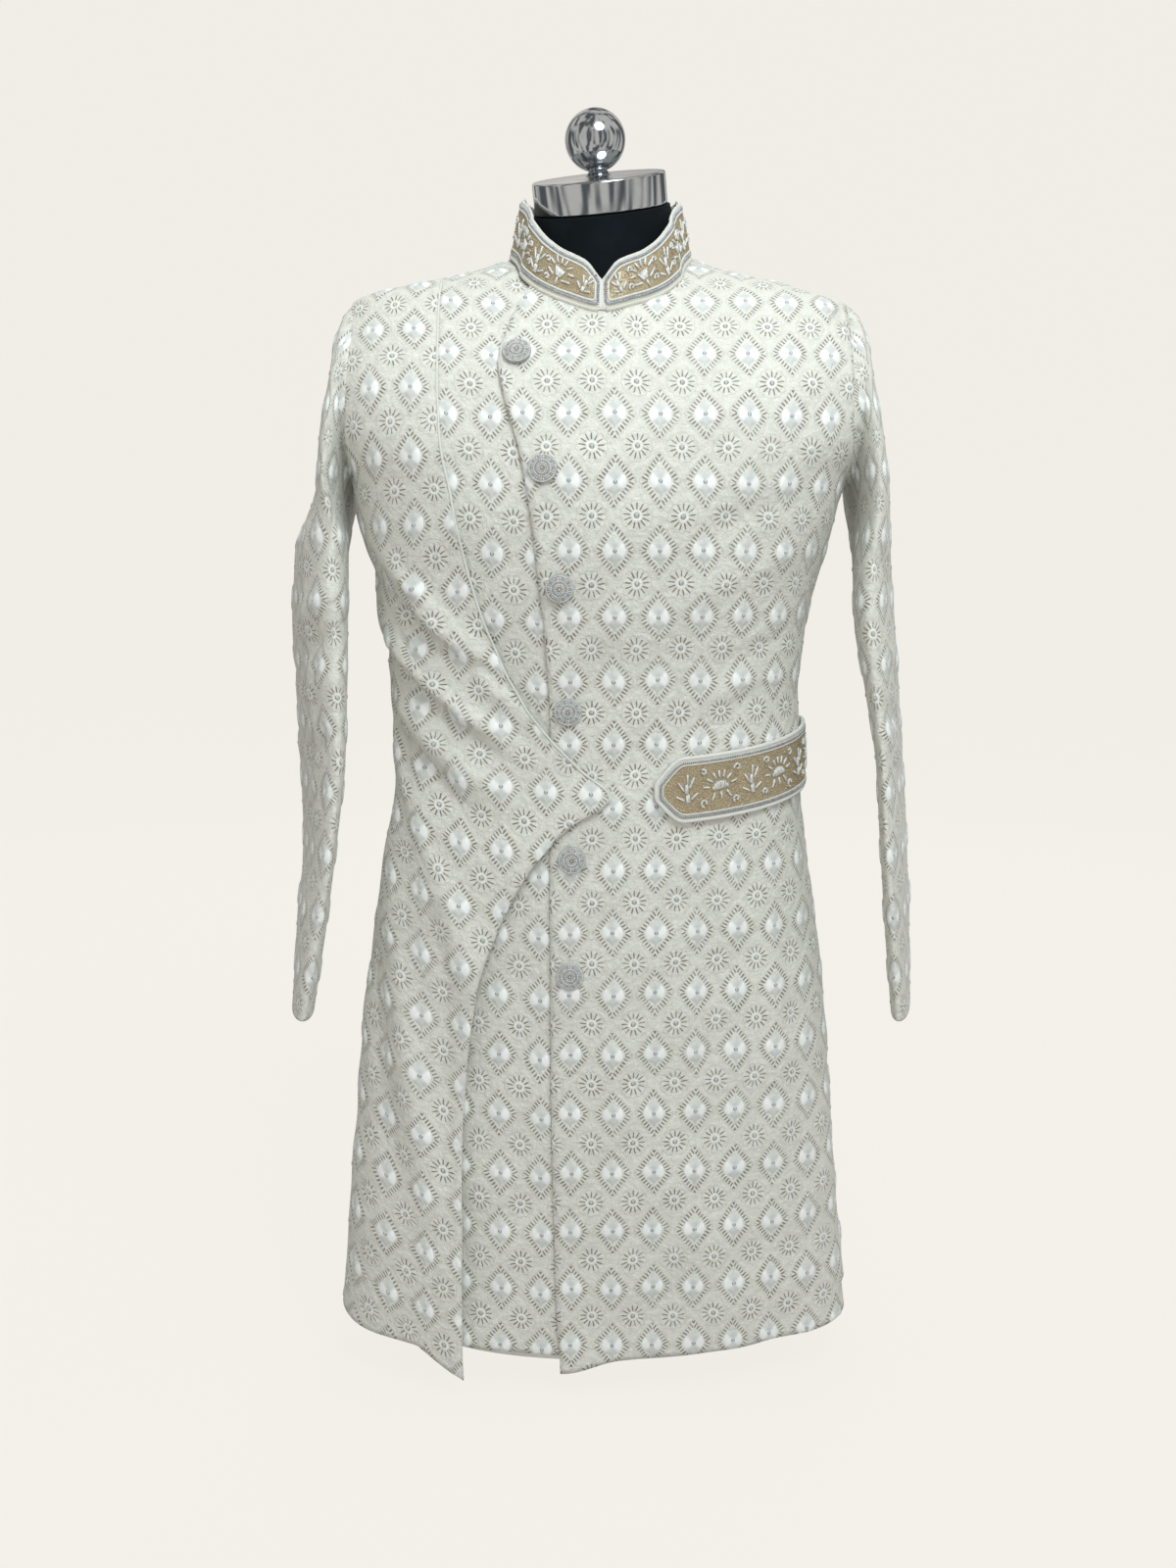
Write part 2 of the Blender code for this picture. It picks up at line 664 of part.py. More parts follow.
def sleeve(name, rows, side, front_layer):
    """A sleeve as a tube from the armhole to its open cuff; front_layer is
    what lies over the front it is sewn to."""
    outer, inner = [], []
    middle, half = (SHOULDER + ARMPIT) / 2, (SHOULDER - ARMPIT) / 2
    turns = [2 * math.pi * step / SLEEVE_SIDES for step in range(SLEEVE_SIDES)]
    out_row, in_row = [], []
    for turn in turns:
        height = middle + half * math.cos(turn) * 0.9995
        ahead = 1 if math.sin(turn) >= 0 else -1
        point, normal = armhole_point(ahead, height)
        layers = CLOTH + front_layer * fade(math.sin(turn), -0.5, 0.0)
        spread = Vector((0, -math.sin(turn) / 0.07, math.cos(turn) / half)).normalized()
        start = Vector((normal.x * layers + SLEEVE_START, 0, 0))
        out_row.append(point + start + spread * layers)
        in_row.append(point + start + spread * (layers - CLOTH))
    outer.append(out_row)
    inner.append(in_row)
    numbered = [(index, *row) for index, row in enumerate(rows)]
    for step in range(SLEEVE_STEPS):
        place = (len(rows) - 1) * step / (SLEEVE_STEPS - 1)
        ring = Ring(*between(numbered, place))
        top = Vector((ring.out, ring.fore, ring.out_z))
        low = Vector((ring.under, ring.fore, ring.under_z))
        centre, arm = (top + low) / 2, (top - low) / 2
        out_row, in_row = [], []
        for turn in turns:
            ahead = Vector((0, -ring.depth, 0))
            point = centre + arm * math.cos(turn) + ahead * math.sin(turn)
            normal = (arm * (math.cos(turn) / arm.length_squared)
                      + ahead * (math.sin(turn) / ahead.length_squared)).normalized()
            out_row.append(point)
            in_row.append(point - normal * CLOTH)
        outer.append(out_row)
        inner.append(in_row)
    for grid in (outer, inner):
        for row in grid:
            for point in row:
                point.x *= side
    wall(name, outer, inner, IVORY, around=True)


# ================================================================ trim
def collar_base(angle):
    """Where the collar stands: on the outer edge of the neckline."""
    height = turn_height(NECKLINE, angle)
    point = coat_point(angle, height)
    normal = coat_normal(angle, height)
    rise = 0.0
    if point.y < 0:
        rise = fade(point.x, *COLLAR_RISE_START) * (1 - fade(point.x, *OVER_FALL))
    outward = Vector((point.x, point.y, 0)).normalized()
    base = point + normal * (CLOTH + COLLAR_GAP + OVER_LIFT * rise)
    return base + Vector((0, 0, COLLAR_SEAT)), outward


def collar():
    """The band collar, with two rounded ends that meet in front."""
    outer, inner = [], []
    start = SEAM_GAP / 0.08
    bearings = []
    for column in range(COLLAR_COLUMNS + 1):
        part = column / COLLAR_COLUMNS
        part -= COLLAR_END_DENSITY * math.sin(2 * math.pi * part)
        bearings.append(start + (2 * math.pi - 2 * start) * part)
    for row in range(4):
        share = row / 3
        out_row, in_row = [], []
        for turn in bearings:
            base, outward = collar_base(neck_angle(turn))
            drop = turn_height(COLLAR_ENDS, turn)
            rise = Vector((0, 0, (COLLAR_HEIGHT - drop) * share))
            lean = COLLAR_LEAN[0] + (COLLAR_LEAN[1] - COLLAR_LEAN[0]) * fade(outward.y, 0, 1)
            point = base + rise - outward * lean * share
            out_row.append(point)
            in_row.append(point - outward * COLLAR_CLOTH)
        outer.append(out_row)
        inner.append(in_row)
    wall("collar", outer, inner, GOLD_BEADING)


def belt():
    """The pointed belt, from its tip in front round the wearer's left side
    and the back to the right side seam."""
    outer, inner = [[], [], []], [[], [], []]
    tip = angle_at(BELT_TIP, BELT_FRONT)
    for column in range(BELT_COLUMNS + 1):
        share = (column / BELT_COLUMNS) ** 1.25
        angle = tip + (BELT_END - tip) * share
        middle = BELT_SIDE - (BELT_SIDE - BELT_FRONT) * max(0.0, math.cos(angle)) ** 1.5
        point = coat_point(angle, middle)
        reach = (point.x - BELT_TIP) / BELT_TIP_LENGTH if column < 6 else 1.0
        half = BELT_HEIGHT / 2 * min(1.0, 0.04 + 0.96 * fade(reach, -0.45, 1.0))
        for row, rise in enumerate((-half, 0.0, half)):
            height = middle + rise
            point = coat_point(angle, height)
            normal = coat_normal(angle, height)
            stand = over_lift(point) if angle < SIDE else 0.0
            inside = point + normal * (stand + CLOTH + BELT_STAND)
            inner[row].append(inside)
            outer[row].append(inside + normal * COLLAR_CLOTH)
    wall("belt", outer, inner, GOLD_BEADING)


def buttons():
    """Six domed buttons along the placket."""
    for number, button in enumerate(BUTTONS, start=1):
        def away(angle, button=button):
            return coat_point(angle, button.height).x - button.offset
        angle = solve(away, -SIDE, SIDE)
        point = coat_point(angle, button.height)
        normal = coat_normal(angle, button.height)
        point += normal * (over_lift(point) + CLOTH + LAYER_GAP)
        place = Matrix.Translation(point) @ normal.to_track_quat("Z", "Y").to_matrix().to_4x4()
        profile = [(BUTTON_RADIUS * 0.93, 0.0), (BUTTON_RADIUS, BUTTON_EDGE)]
        for step in (0.72, 0.42, 0.14):
            dome = BUTTON_EDGE + (BUTTON_RISE - BUTTON_EDGE) * math.sqrt(1 - step * step)
            profile.append((BUTTON_RADIUS * step, dome))
        bm = bmesh.new()
        turned(bm, profile, BUTTON_SIDES, place)
        finish_object(f"button_{number}", bm, SILVER_BEADING)


# ================================================================ dress form
def cap_place():
    """Place and tilt of the chrome cap on the neck."""
    tilt = Matrix.Rotation(CAP_NOD, 4, "X") @ Matrix.Rotation(CAP_ROLL, 4, "Y")
    return Matrix.Translation((0.0, -NECK_FORWARD, CAP_BASE)) @ tilt


def form_point(angle, level, inset):
    """The dress form stays inside the coat, and its neck rises out of it."""
    half_width, front, back, side, square = between(COAT, level + FORM_DROP)
    depth = (side - front) if math.cos(angle) > 0 else (back - side)
    half_width, depth = half_width - inset, max(depth - inset, 0.001)
    turn_x, turn_y = math.sin(angle) / half_width, math.cos(angle) / depth
    body = (abs(turn_x) ** square + abs(turn_y) ** square) ** (-1 / square)
    flare = NECK_FLARE * fade(NECK_FLARE_TOP - level, 0.0, NECK_FLARE_TOP - 1.0)
    neck = 0.0
    if level > NECK_FADE:
        neck = NECK_RADIUS + flare + NECK_FORWARD * math.cos(angle)
    reach = (body ** FORM_BLEND + neck ** FORM_BLEND) ** (1 / FORM_BLEND)
    x = min(max(reach * math.sin(angle), -FORM_ARM_PLATE), FORM_ARM_PLATE)
    return x, side - reach * math.cos(angle)


def dress_form():
    """The limbless torso, whole and smooth, from its neck to its hips."""
    bm = bmesh.new()
    rings = []
    for level in FORM_LEVELS:
        ring = []
        for step in range(FORM_SIDES):
            angle = 2 * math.pi * step / FORM_SIDES
            inset = FORM_INSET + (FORM_BOTTOM_ROUNDING if level == FORM_BOTTOM else 0.0)
            x, y = form_point(angle, level, inset)
            ring.append(bm.verts.new((x, y, level)))
        rings.append(ring)
    top = cap_place()
    normal = top.to_3x3() @ Vector((0, 0, 1))
    ring = []
    for step in range(FORM_SIDES):
        angle = 2 * math.pi * step / FORM_SIDES
        reach = NECK_RADIUS + NECK_FORWARD * math.cos(angle)
        x, y = reach * math.sin(angle), -reach * math.cos(angle)
        slant = normal.x * x + normal.y * (y + NECK_FORWARD)
        height = CAP_BASE - SEAM_GAP - slant / normal.z
        ring.append(bm.verts.new((x, y, height)))
    rings.append(ring)
    for lower, upper in zip(rings, rings[1:]):
        for (a, b), (c, d) in zip(pairs(lower, True), pairs(upper, True)):
            bm.faces.new((a, b, d, c))
    bm.faces.new(rings[0])
    bm.faces.new(rings[-1])
    finish_object("dress_form", bm, BLACK_JERSEY)


def neck_cap():
    """Chrome cap with softened edges."""
    bm = bmesh.new()
    edge = 0.0025
    profile = ((CAP_RADIUS - edge, 0.0), (CAP_RADIUS, edge),
               (CAP_RADIUS, CAP_HEIGHT - edge), (CAP_RADIUS - edge, CAP_HEIGHT),
               (CAP_RADIUS * 0.35, CAP_HEIGHT + 0.0012))
    turned(bm, profile, 36, cap_place())
    finish_object("neck_cap", bm, CHROME)


def finial_ball():
    """Chrome ball on its short stem."""
    bm = bmesh.new()
    foot = CAP_HEIGHT + 0.0012 + SEAM_GAP
    joint = math.asin(STEM_RADIUS / BALL_RADIUS)
    profile = [(STEM_RADIUS * 1.5, foot), (STEM_RADIUS, foot + 0.003)]
    steps = 9
    for step in range(steps):
        turn = joint + (math.pi - 0.12 - joint) * step / (steps - 1)
        profile.append((BALL_RADIUS * math.sin(turn),
                        BALL_HEIGHT - BALL_RADIUS * math.cos(turn)))
    turned(bm, profile, 20, cap_place())
    finish_object("finial_ball", bm, CHROME)


def stand():
    """Post and oval base plate, inside the skirt."""
    bm = bmesh.new()
    profile = ((POST_RADIUS, BASE_THICKNESS + SEAM_GAP), (POST_RADIUS, FORM_BOTTOM - SEAM_GAP))
    turned(bm, profile, 20, Matrix.Identity(4))
    finish_object("post", bm, STEEL)
    bm = bmesh.new()
    edge = 0.002
    profile = ((1.0 - edge, 0.0), (1.0, edge), (1.0, BASE_THICKNESS - edge),
               (1.0 - edge, BASE_THICKNESS))
    squash = Matrix.Diagonal((BASE_HALF_LENGTH, BASE_HALF_DEPTH, 1.0, 1.0))
    turned(bm, profile, 32, Matrix.Translation((0.0, BASE_BACK, 0.0)) @ squash)
    finish_object("base", bm, STEEL)


def main():
    for item in list(bpy.data.objects):
        bpy.data.objects.remove(item)
    front_left_over()
    front_right_under()
    overlay_right()
    back_panels()
    sleeve("sleeve_left", SLEEVE_LEFT, 1, 0.0)
    sleeve("sleeve_right", SLEEVE_RIGHT, -1, CLOTH + OVERLAY_GAP)
    collar()
    belt()
    buttons()
    dress_form()
    neck_cap()
    finial_ball()
    stand()


main()
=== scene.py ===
import math
from functools import lru_cache

import bmesh
import bpy
import numpy as np
from mathutils import Matrix, Vector


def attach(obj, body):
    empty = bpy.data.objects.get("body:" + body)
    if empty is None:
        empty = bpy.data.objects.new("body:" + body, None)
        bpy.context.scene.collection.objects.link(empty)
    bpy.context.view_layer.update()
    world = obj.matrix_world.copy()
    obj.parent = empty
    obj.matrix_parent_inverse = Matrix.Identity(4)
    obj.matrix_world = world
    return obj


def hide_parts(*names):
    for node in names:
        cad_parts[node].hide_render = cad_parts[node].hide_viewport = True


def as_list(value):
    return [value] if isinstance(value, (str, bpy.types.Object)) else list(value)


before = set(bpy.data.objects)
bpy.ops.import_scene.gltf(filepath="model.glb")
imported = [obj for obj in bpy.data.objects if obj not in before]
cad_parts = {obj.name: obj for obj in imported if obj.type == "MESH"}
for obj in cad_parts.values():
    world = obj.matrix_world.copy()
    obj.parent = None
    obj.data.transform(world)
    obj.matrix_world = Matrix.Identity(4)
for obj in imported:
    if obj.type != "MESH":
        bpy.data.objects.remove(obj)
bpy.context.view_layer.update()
bpy.ops.object.select_all(action="DESELECT")
print("frame loaded")

side = math.pi / 2      # angle of the wearer's left side seam
back = math.pi          # angle of the middle back seam

# Metres, +Z up, the coat's front faces -Y and +X is the wearer's left.
# Angles run round the body from the front middle past the wearer's left.
coatShape = {
    "cloth": 0.002, "seamGap": 0.0003,
    "armhole": 0.2225, "armpit": 0.86, "shoulder": 1.018,
    "hemFade": 0.2, "neckFade": 0.9, "lowest": 0.06, "dipEnd": 0.172, "flatRow": 0.683,
    # height, half width, front, back, where the side lies, squareness
    "sections": (
        (0.02, 0.25, -0.095, 0.122, 0.018, 2.25), (0.15, 0.239, -0.097, 0.123, 0.014, 2.25),
        (0.3, 0.225, -0.1, 0.123, 0.01, 2.25), (0.42, 0.211, -0.104, 0.118, 0.006, 2.25),
        (0.51, 0.197, -0.106, 0.107, 0.003, 2.3), (0.59, 0.187, -0.106, 0.092, 0.0, 2.3),
        (0.67, 0.185, -0.114, 0.087, 0.0, 2.35), (0.77, 0.1985, -0.133, 0.098, 0.0, 2.45),
        (0.83, 0.216, -0.14, 0.108, 0.0, 2.55), (0.86, 0.2225, -0.139, 0.112, 0.0, 2.6),
        (0.9, 0.248, -0.131, 0.115, 0.0, 2.6), (0.94, 0.256, -0.117, 0.111, 0.0, 2.6),
        (0.98, 0.248, -0.094, 0.102, 0.0, 2.5), (1.0, 0.237, -0.081, 0.095, 0.0, 2.4),
        (1.018, 0.2225, -0.067, 0.089, 0.0, 2.3), (1.0265, 0.1965, -0.058, 0.086, 0.0, 2.25),
        (1.035, 0.171, -0.0475, 0.0835, 0.0, 2.2), (1.042, 0.139, -0.0395, 0.081, 0.0, 2.15),
        (1.049, 0.111, -0.031, 0.0785, 0.0, 2.1), (1.056, 0.0905, -0.021, 0.0755, 0.0, 2.05),
        (1.062, 0.0775, -0.006, 0.072, 0.0, 2.0)),
    # degrees from the front middle, height
    "hem": ((0, 0.037), (20, 0.041), (45, 0.047), (90, 0.06), (180, 0.034)),
    "neckline": ((0, 1.0), (8, 1.009), (16, 1.0225), (28, 1.04), (45, 1.0505),
                 (62, 1.056), (90, 1.061), (125, 1.0605), (152, 1.059), (180, 1.058)),
    # upright folds of the skirt: degrees, how far out, half width in degrees, top
    "flutes": ((24, 0.004, 9, 0.42), (58, 0.009, 10, 0.52), (84, -0.006, 8, 0.5), (112, 0.01, 10, 0.5),
               (146, 0.008, 10, 0.46), (180, -0.005, 9, 0.44), (214, 0.009, 10, 0.48), (248, 0.008, 9, 0.5),
               (276, -0.005, 8, 0.46), (304, 0.006, 10, 0.44), (334, 0.003, 9, 0.4)),
    # height where the rows' spacing changes, and the spacing from there on
    "rows": ((0.06, 0.005), (0.845, 0.004), (0.857, 0.001), (0.86, 0.0006), (0.863, 0.0012),
             (0.872, 0.003), (0.9, 0.0046), (0.985, 0.0038), (1.008, 0.002), (1.015, 0.001),
             (1.018, 0.0015), (1.022, 0.0026), (1.061, 0.0)),
}
cloth, seamGap = coatShape["cloth"], coatShape["seamGap"]


def slopeAt(rows, index, column):
    # slope of a smooth curve at a row: flat at a peak or at an end
    if index in (0, len(rows) - 1):
        return 0.0
    before, here, after = rows[index - 1:index + 2]
    left = (here[column] - before[column]) / (here[0] - before[0])
    right = (after[column] - here[column]) / (after[0] - here[0])
    return 0.0 if left * right <= 0 else 2 * left * right / (left + right)


def smoothTable(rows):
    # a function that gives a table's other columns at a place in its first one
    columns = range(1, len(rows[0]))
    slopes = [[slopeAt(rows, index, column) for column in columns] for index in range(len(rows))]
    places = [row[0] for row in rows]

    @lru_cache(maxsize=100000)
    def read(place):
        place = min(max(place, places[0]), places[-1])
        index = next((i for i in range(len(rows) - 2) if place <= places[i + 1]), len(rows) - 2)
        low, high = rows[index], rows[index + 1]
        span = high[0] - low[0]
        part = (place - low[0]) / span
        smooth = part * part * (3 - 2 * part)
        easeIn, easeOut = part * (1 - part) ** 2, -part * part * (1 - part)
        return tuple(low[c] + (high[c] - low[c]) * smooth
                     + span * (slopes[index][c - 1] * easeIn + slopes[index + 1][c - 1] * easeOut)
                     for c in columns)
    return read


sectionAt = smoothTable(coatShape["sections"])
hemAt, necklineAt = smoothTable(coatShape["hem"]), smoothTable(coatShape["neckline"])


def fade(value, start, end):
    part = min(max((value - start) / (end - start), 0.0), 1.0)
    return part * part * (3 - 2 * part)


def hump(distance, width):
    return 0.0 if abs(distance) >= width else math.cos(distance / width * math.pi / 2) ** 2


def solve(function, low, high):
    # where a rising function passes through zero
    for _ in range(30):
        middle = (low + high) / 2
        low, high = (low, middle) if function(middle) > 0 else (middle, high)
    return (low + high) / 2


def coatPoint(angle, height):
    halfWidth, front, rear, sideAt, square = sectionAt(height)
    turnX, turnY = math.sin(angle), math.cos(angle)
    reach = (abs(turnX) ** square + abs(turnY) ** square) ** (-1 / square)
    depth = (sideAt - front) if turnY > 0 else (rear - sideAt)
    stand = 0.0
    if height < 0.52:
        degrees = math.degrees(angle) % 360
        for place, out, width, top in coatShape["flutes"]:
            away = (degrees - place + 180) % 360 - 180
            if abs(away) < 2 * width:
                stand += out * hump(away, 2 * width) * fade(top - height, 0.0, top)
    return Vector((halfWidth * reach * turnX + stand * turnX,
                   sideAt - depth * reach * turnY - stand * turnY, height))


def coatNormal(angle, height):
    step = 0.002
    across = coatPoint(angle + step, height) - coatPoint(angle - step, height)
    up = coatPoint(angle, height + step) - coatPoint(angle, height - step)
    return across.cross(up).normalized()


def turned(degrees):
    degrees = degrees % 360
    return min(degrees, 360 - degrees)


def hemHeight(angle):
    return hemAt(turned(math.degrees(angle)))[0]


def neckHeight(angle):
    return necklineAt(turned(math.degrees(angle)))[0]


hemSide, neckSide = hemHeight(side), neckHeight(side)


def levelHeight(level, angle):
    # height of a level, named by its height at the side seam, at another angle
    height = level
    if level < coatShape["hemFade"]:
        height += (hemHeight(angle) - hemSide) * (1 - fade(level, hemSide, coatShape["hemFade"]))
    if level > coatShape["neckFade"]:
        share = (level - coatShape["neckFade"]) / (neckSide - coatShape["neckFade"])
        height += (neckHeight(angle) - neckSide) * share
    return height


def angleAt(offset, level):
    return solve(lambda angle: coatPoint(angle, levelHeight(level, angle)).x - offset, -side, side)


def edgeAngle(tableAt, level, shift):
    # angle where a level meets an edge given by height and offset
    def away(angle):
        height = levelHeight(level, angle)
        return coatPoint(angle, height).x - tableAt(height)[0] - shift
    return solve(away, -side, side)


def armholeAngle(level, turn):
    # turn is 1 in front and -1 behind
    if level <= coatShape["armpit"] or level >= coatShape["shoulder"]:
        return side

    def away(turnedTo):
        angle = side - turn * (side - turnedTo)
        return coatPoint(angle, levelHeight(level, angle)).x - coatShape["armhole"]
    return side - turn * (side - solve(away, 0.2, side))


def seamStep(angle, level):
    height = levelHeight(level, angle)
    width = coatPoint(angle + 0.01, height) - coatPoint(angle - 0.01, height)
    return seamGap * 0.01 / width.length


def bearingOf(angle):
    # plan direction of the neckline's point, from the front middle
    point = coatPoint(angle, neckHeight(angle))
    turn = math.atan2(point.x, -point.y)
    return turn + 2 * math.pi if angle > back else turn


neckSteps = np.linspace(0, back, 1441)
neckBearings = np.array([bearingOf(angle) for angle in neckSteps])


def neckAngle(direction):
    turn = abs(direction)
    if turn > back:
        return 2 * math.pi - neckAngle(2 * math.pi - turn)
    return math.copysign(float(np.interp(turn, neckBearings, neckSteps)), direction)


def foldHeight(x, z, folds):
    # ridges and troughs between two points of a face: x, z, x, z, height, half width, bow
    total = 0.0
    for fromX, fromZ, toX, toZ, height, width, bow in folds:
        runX, runZ = toX - fromX, toZ - fromZ
        length = math.hypot(runX, runZ)
        along = ((x - fromX) * runX + (z - fromZ) * runZ) / (length * length)
        if -0.12 < along < 1.12:
            across = ((x - fromX) * runZ - (z - fromZ) * runX) / length - bow * hump(along - 0.5, 0.62)
            total += height * hump(across, width * (0.8 + 0.5 * along)) * hump(along - 0.5, 0.62)
    return total


def marchRows(stops):
    places = []
    for (low, step), (high, _) in zip(stops, stops[1:]):
        count = max(1, round((high - low) / step))
        places += [low + (high - low) * part / count for part in range(count)]
    return places + [stops[-1][0]]


def stepAlong(places, level, grain, flat, start):
    # adds up each row's distance from the next, along the level and up the grain
    for last, step in ((len(places) - 1, 1), (0, -1)):
        for row in range(start, last, step):
            move = places[row + step] - places[row]
            for axis, direction in ((0, level), (1, grain)):
                ahead = (direction[row] + direction[row + step]) / 2
                flat[row + step, :, axis] = flat[row, :, axis] + np.sum(move * ahead, axis=1)
    return flat


def lengthsAlong(places):
    # length from a line's first point to each of its points
    return np.concatenate([[0.0], np.cumsum(np.linalg.norm(np.diff(places, axis=0), axis=1))])


def unit(vectors):
    return vectors / np.maximum(np.linalg.norm(vectors, axis=-1, keepdims=True), 1e-12)


def layFlat(places, lengths, start):
    # cloth coordinates in metres of a grid of points, from the lengths along its start row
    flat = np.zeros((*places.shape[:2], 2))
    flat[start, :, 0] = lengths
    normal = gridNormals(places)
    level = unit(np.stack([-normal[:, :, 1], normal[:, :, 0], np.zeros(places.shape[:2])], axis=2))
    return stepAlong(places, level, np.cross(normal, level), flat, start)


def gridNormals(places):
    return unit(np.cross(np.gradient(places, axis=1), np.gradient(places, axis=0)))


bodyHeights = np.linspace(0.012, 1.064, 270)
bodyAngles = np.radians(np.linspace(-190, 190, 153))


def makeBodyFlat(startHeight):
    # the body laid flat: lengths round it from the front middle, and up its grain
    places = np.array([[coatPoint(angle, height) for angle in bodyAngles] for height in bodyHeights])
    middle = len(bodyAngles) // 2
    girth = np.array([lengthsAlong(line) for line in places])
    level, rise = unit(np.gradient(places, axis=1)), np.gradient(places, axis=0)
    grain = unit(rise - level * np.sum(rise * level, axis=2, keepdims=True))
    start = int(np.argmin(np.abs(bodyHeights - startHeight)))
    flat = stepAlong(places, level, grain, np.zeros((*places.shape[:2], 2)), start)
    flat[:, :, 0] = girth - girth[:, middle:middle + 1]
    return flat


bodyFlat = makeBodyFlat(coatShape["flatRow"])


def readGrid(grid, rows, columns):
    # values of a grid between its points
    low = np.clip(rows.astype(int), 0, grid.shape[0] - 2)
    left = np.clip(columns.astype(int), 0, grid.shape[1] - 2)
    up, over = (rows - low)[..., None], (columns - left)[..., None]
    return ((grid[low, left] * (1 - over) + grid[low, left + 1] * over) * (1 - up)
            + (grid[low + 1, left] * (1 - over) + grid[low + 1, left + 1] * over) * up)


def flatOf(angles, heights):
    rows = (heights - bodyHeights[0]) / (bodyHeights[1] - bodyHeights[0])
    columns = (angles - bodyAngles[0]) / (bodyAngles[1] - bodyAngles[0])
    return readGrid(bodyFlat, rows, columns)


def wander(flat, amount=0.0007):
    # hand work strays a little from its lattice
    u, v = flat[..., 0], flat[..., 1]
    stray = np.stack([np.sin(u * 71 + 1.3) * np.sin(v * 53 + 0.4) + 0.6 * np.sin(v * 97 + u * 31),
                      np.sin(u * 59 + 2.1) * np.sin(v * 67 + 1.9) + 0.6 * np.sin(u * 103 - v * 23)], axis=-1)
    return flat + amount * stray


class Surface:
    # a laid out grid, and the places and normals that belong to its cloth coordinates
    def __init__(self, places, flat):
        self.places, self.flat, self.normals = places, flat, gridNormals(places)
        self.rise, self.over = np.gradient(flat, axis=0), np.gradient(flat, axis=1)

    def start(self, wanted):
        grid = self.flat.reshape(-1, 2)
        found = [int(np.argmin(np.sum((grid - place) ** 2, axis=1))) for place in wanted]
        return np.unravel_index(np.array(found), self.flat.shape[:2])

    def find(self, wanted, rows, columns):
        rows, columns = rows.astype(float), columns.astype(float)
        for _ in range(14):
            gap = wanted - readGrid(self.flat, rows, columns)
            up, over = readGrid(self.rise, rows, columns), readGrid(self.over, rows, columns)
            size = up[..., 0] * over[..., 1] - up[..., 1] * over[..., 0]
            size = np.where(np.abs(size) < 1e-12, 1e-12, size)
            stepUp = (gap[..., 0] * over[..., 1] - gap[..., 1] * over[..., 0]) / size
            stepOver = (up[..., 0] * gap[..., 1] - up[..., 1] * gap[..., 0]) / size
            rows = np.clip(rows + np.clip(stepUp, -3, 3), 0, self.flat.shape[0] - 1)
            columns = np.clip(columns + np.clip(stepOver, -3, 3), 0, self.flat.shape[1] - 1)
        gap = np.linalg.norm(wanted - readGrid(self.flat, rows, columns), axis=-1)
        return readGrid(self.places, rows, columns), unit(readGrid(self.normals, rows, columns)), gap

    def spotsAt(self, wanted):
        # places and normals at a list of cloth coordinates
        wanted = np.array(wanted)
        return self.find(wanted, *self.start(wanted))[:2]


def linked(name, mesh):
    piece = bpy.data.objects.new(name, mesh)
    bpy.context.collection.objects.link(piece)
    return piece


def gridObject(name, materials, points, flat, around=False):
    rows, columns = points.shape[:2]
    index = np.arange(rows * columns).reshape(rows, columns)
    wide = columns if around else columns - 1
    after = np.roll(index, -1, axis=1)
    faces = np.stack([index[:-1, :wide], after[:-1, :wide], after[1:, :wide], index[1:, :wide]], axis=2)
    corners = np.stack([flat[:-1, :wide], flat[:-1, 1:wide + 1],
                        flat[1:, 1:wide + 1], flat[1:, :wide]], axis=2)
    mesh = bpy.data.meshes.new(name)
    mesh.from_pydata(points[:, :, :3].reshape(-1, 3).tolist(), [], faces.reshape(-1, 4).tolist())
    mesh.uv_layers.new(name="clothMetres").data.foreach_set("uv", corners.reshape(-1).astype(float))
    mesh.shade_smooth()
    for item in materials:
        mesh.materials.append(item)
    return linked(name, mesh)


def makeCurrent(piece):
    bpy.ops.object.select_all(action="DESELECT")
    piece.select_set(True)
    bpy.context.view_layer.objects.active = piece


def pick(piece, wanted, kind="FACE"):
    # in edit mode, selects the faces or edges that pass a test
    bpy.ops.mesh.select_mode(type=kind)
    bpy.ops.mesh.select_all(action="DESELECT")
    bm = bmesh.from_edit_mesh(piece.data)
    for part in bm.faces if kind == "FACE" else bm.edges:
        part.select_set(wanted(part))
    bmesh.update_edit_mesh(piece.data)


def addCylinder(sides, radius, depth, foot=0.0):
    # a cylinder whose foot stands at a height
    bpy.ops.mesh.primitive_cylinder_add(vertices=sides, radius=radius, depth=depth,
                                        location=(0, 0, foot + depth / 2))
    bpy.ops.object.transform_apply(location=True, rotation=True, scale=True)
    return bpy.context.active_object


def applyModifier(piece, kind, **values):
    makeCurrent(piece)
    modifier = piece.modifiers.new(kind.lower(), kind)
    for key, value in values.items():
        setattr(modifier, key, value)
    bpy.ops.object.modifier_apply(modifier=modifier.name)
    piece.select_set(False)


def thicken(piece, thickness):
    # the wall grows inward, and its inner side and rim take the second and third material
    applyModifier(piece, "SOLIDIFY", thickness=thickness, offset=-1, use_rim=True,
                  material_offset=1, material_offset_rim=2)


def dress(piece, materials, nodes=()):
    for item in materials:
        piece.data.materials.append(item)
    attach(piece, "root")
    if nodes:
        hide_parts(*nodes)


def meshPiece(name, bm):
    mesh = bpy.data.meshes.new(name)
    bm.to_mesh(mesh)
    bm.free()
    mesh.shade_smooth()
    return linked(name, mesh)


def tone(red, green, blue):
    # a colour read on a screen, as the linear one that a shader takes
    parts = [value / 255 for value in (red, green, blue)]
    return tuple(part / 12.92 if part <= 0.04045 else ((part + 0.055) / 1.055) ** 2.4 for part in parts)


def wire(tree, value, socket):
    if isinstance(value, bpy.types.NodeSocket):
        tree.links.new(value, socket)
    elif isinstance(value, tuple) and len(value) == 3 and socket.type == "RGBA":
        socket.default_value = (*value, 1.0)
    else:
        socket.default_value = value


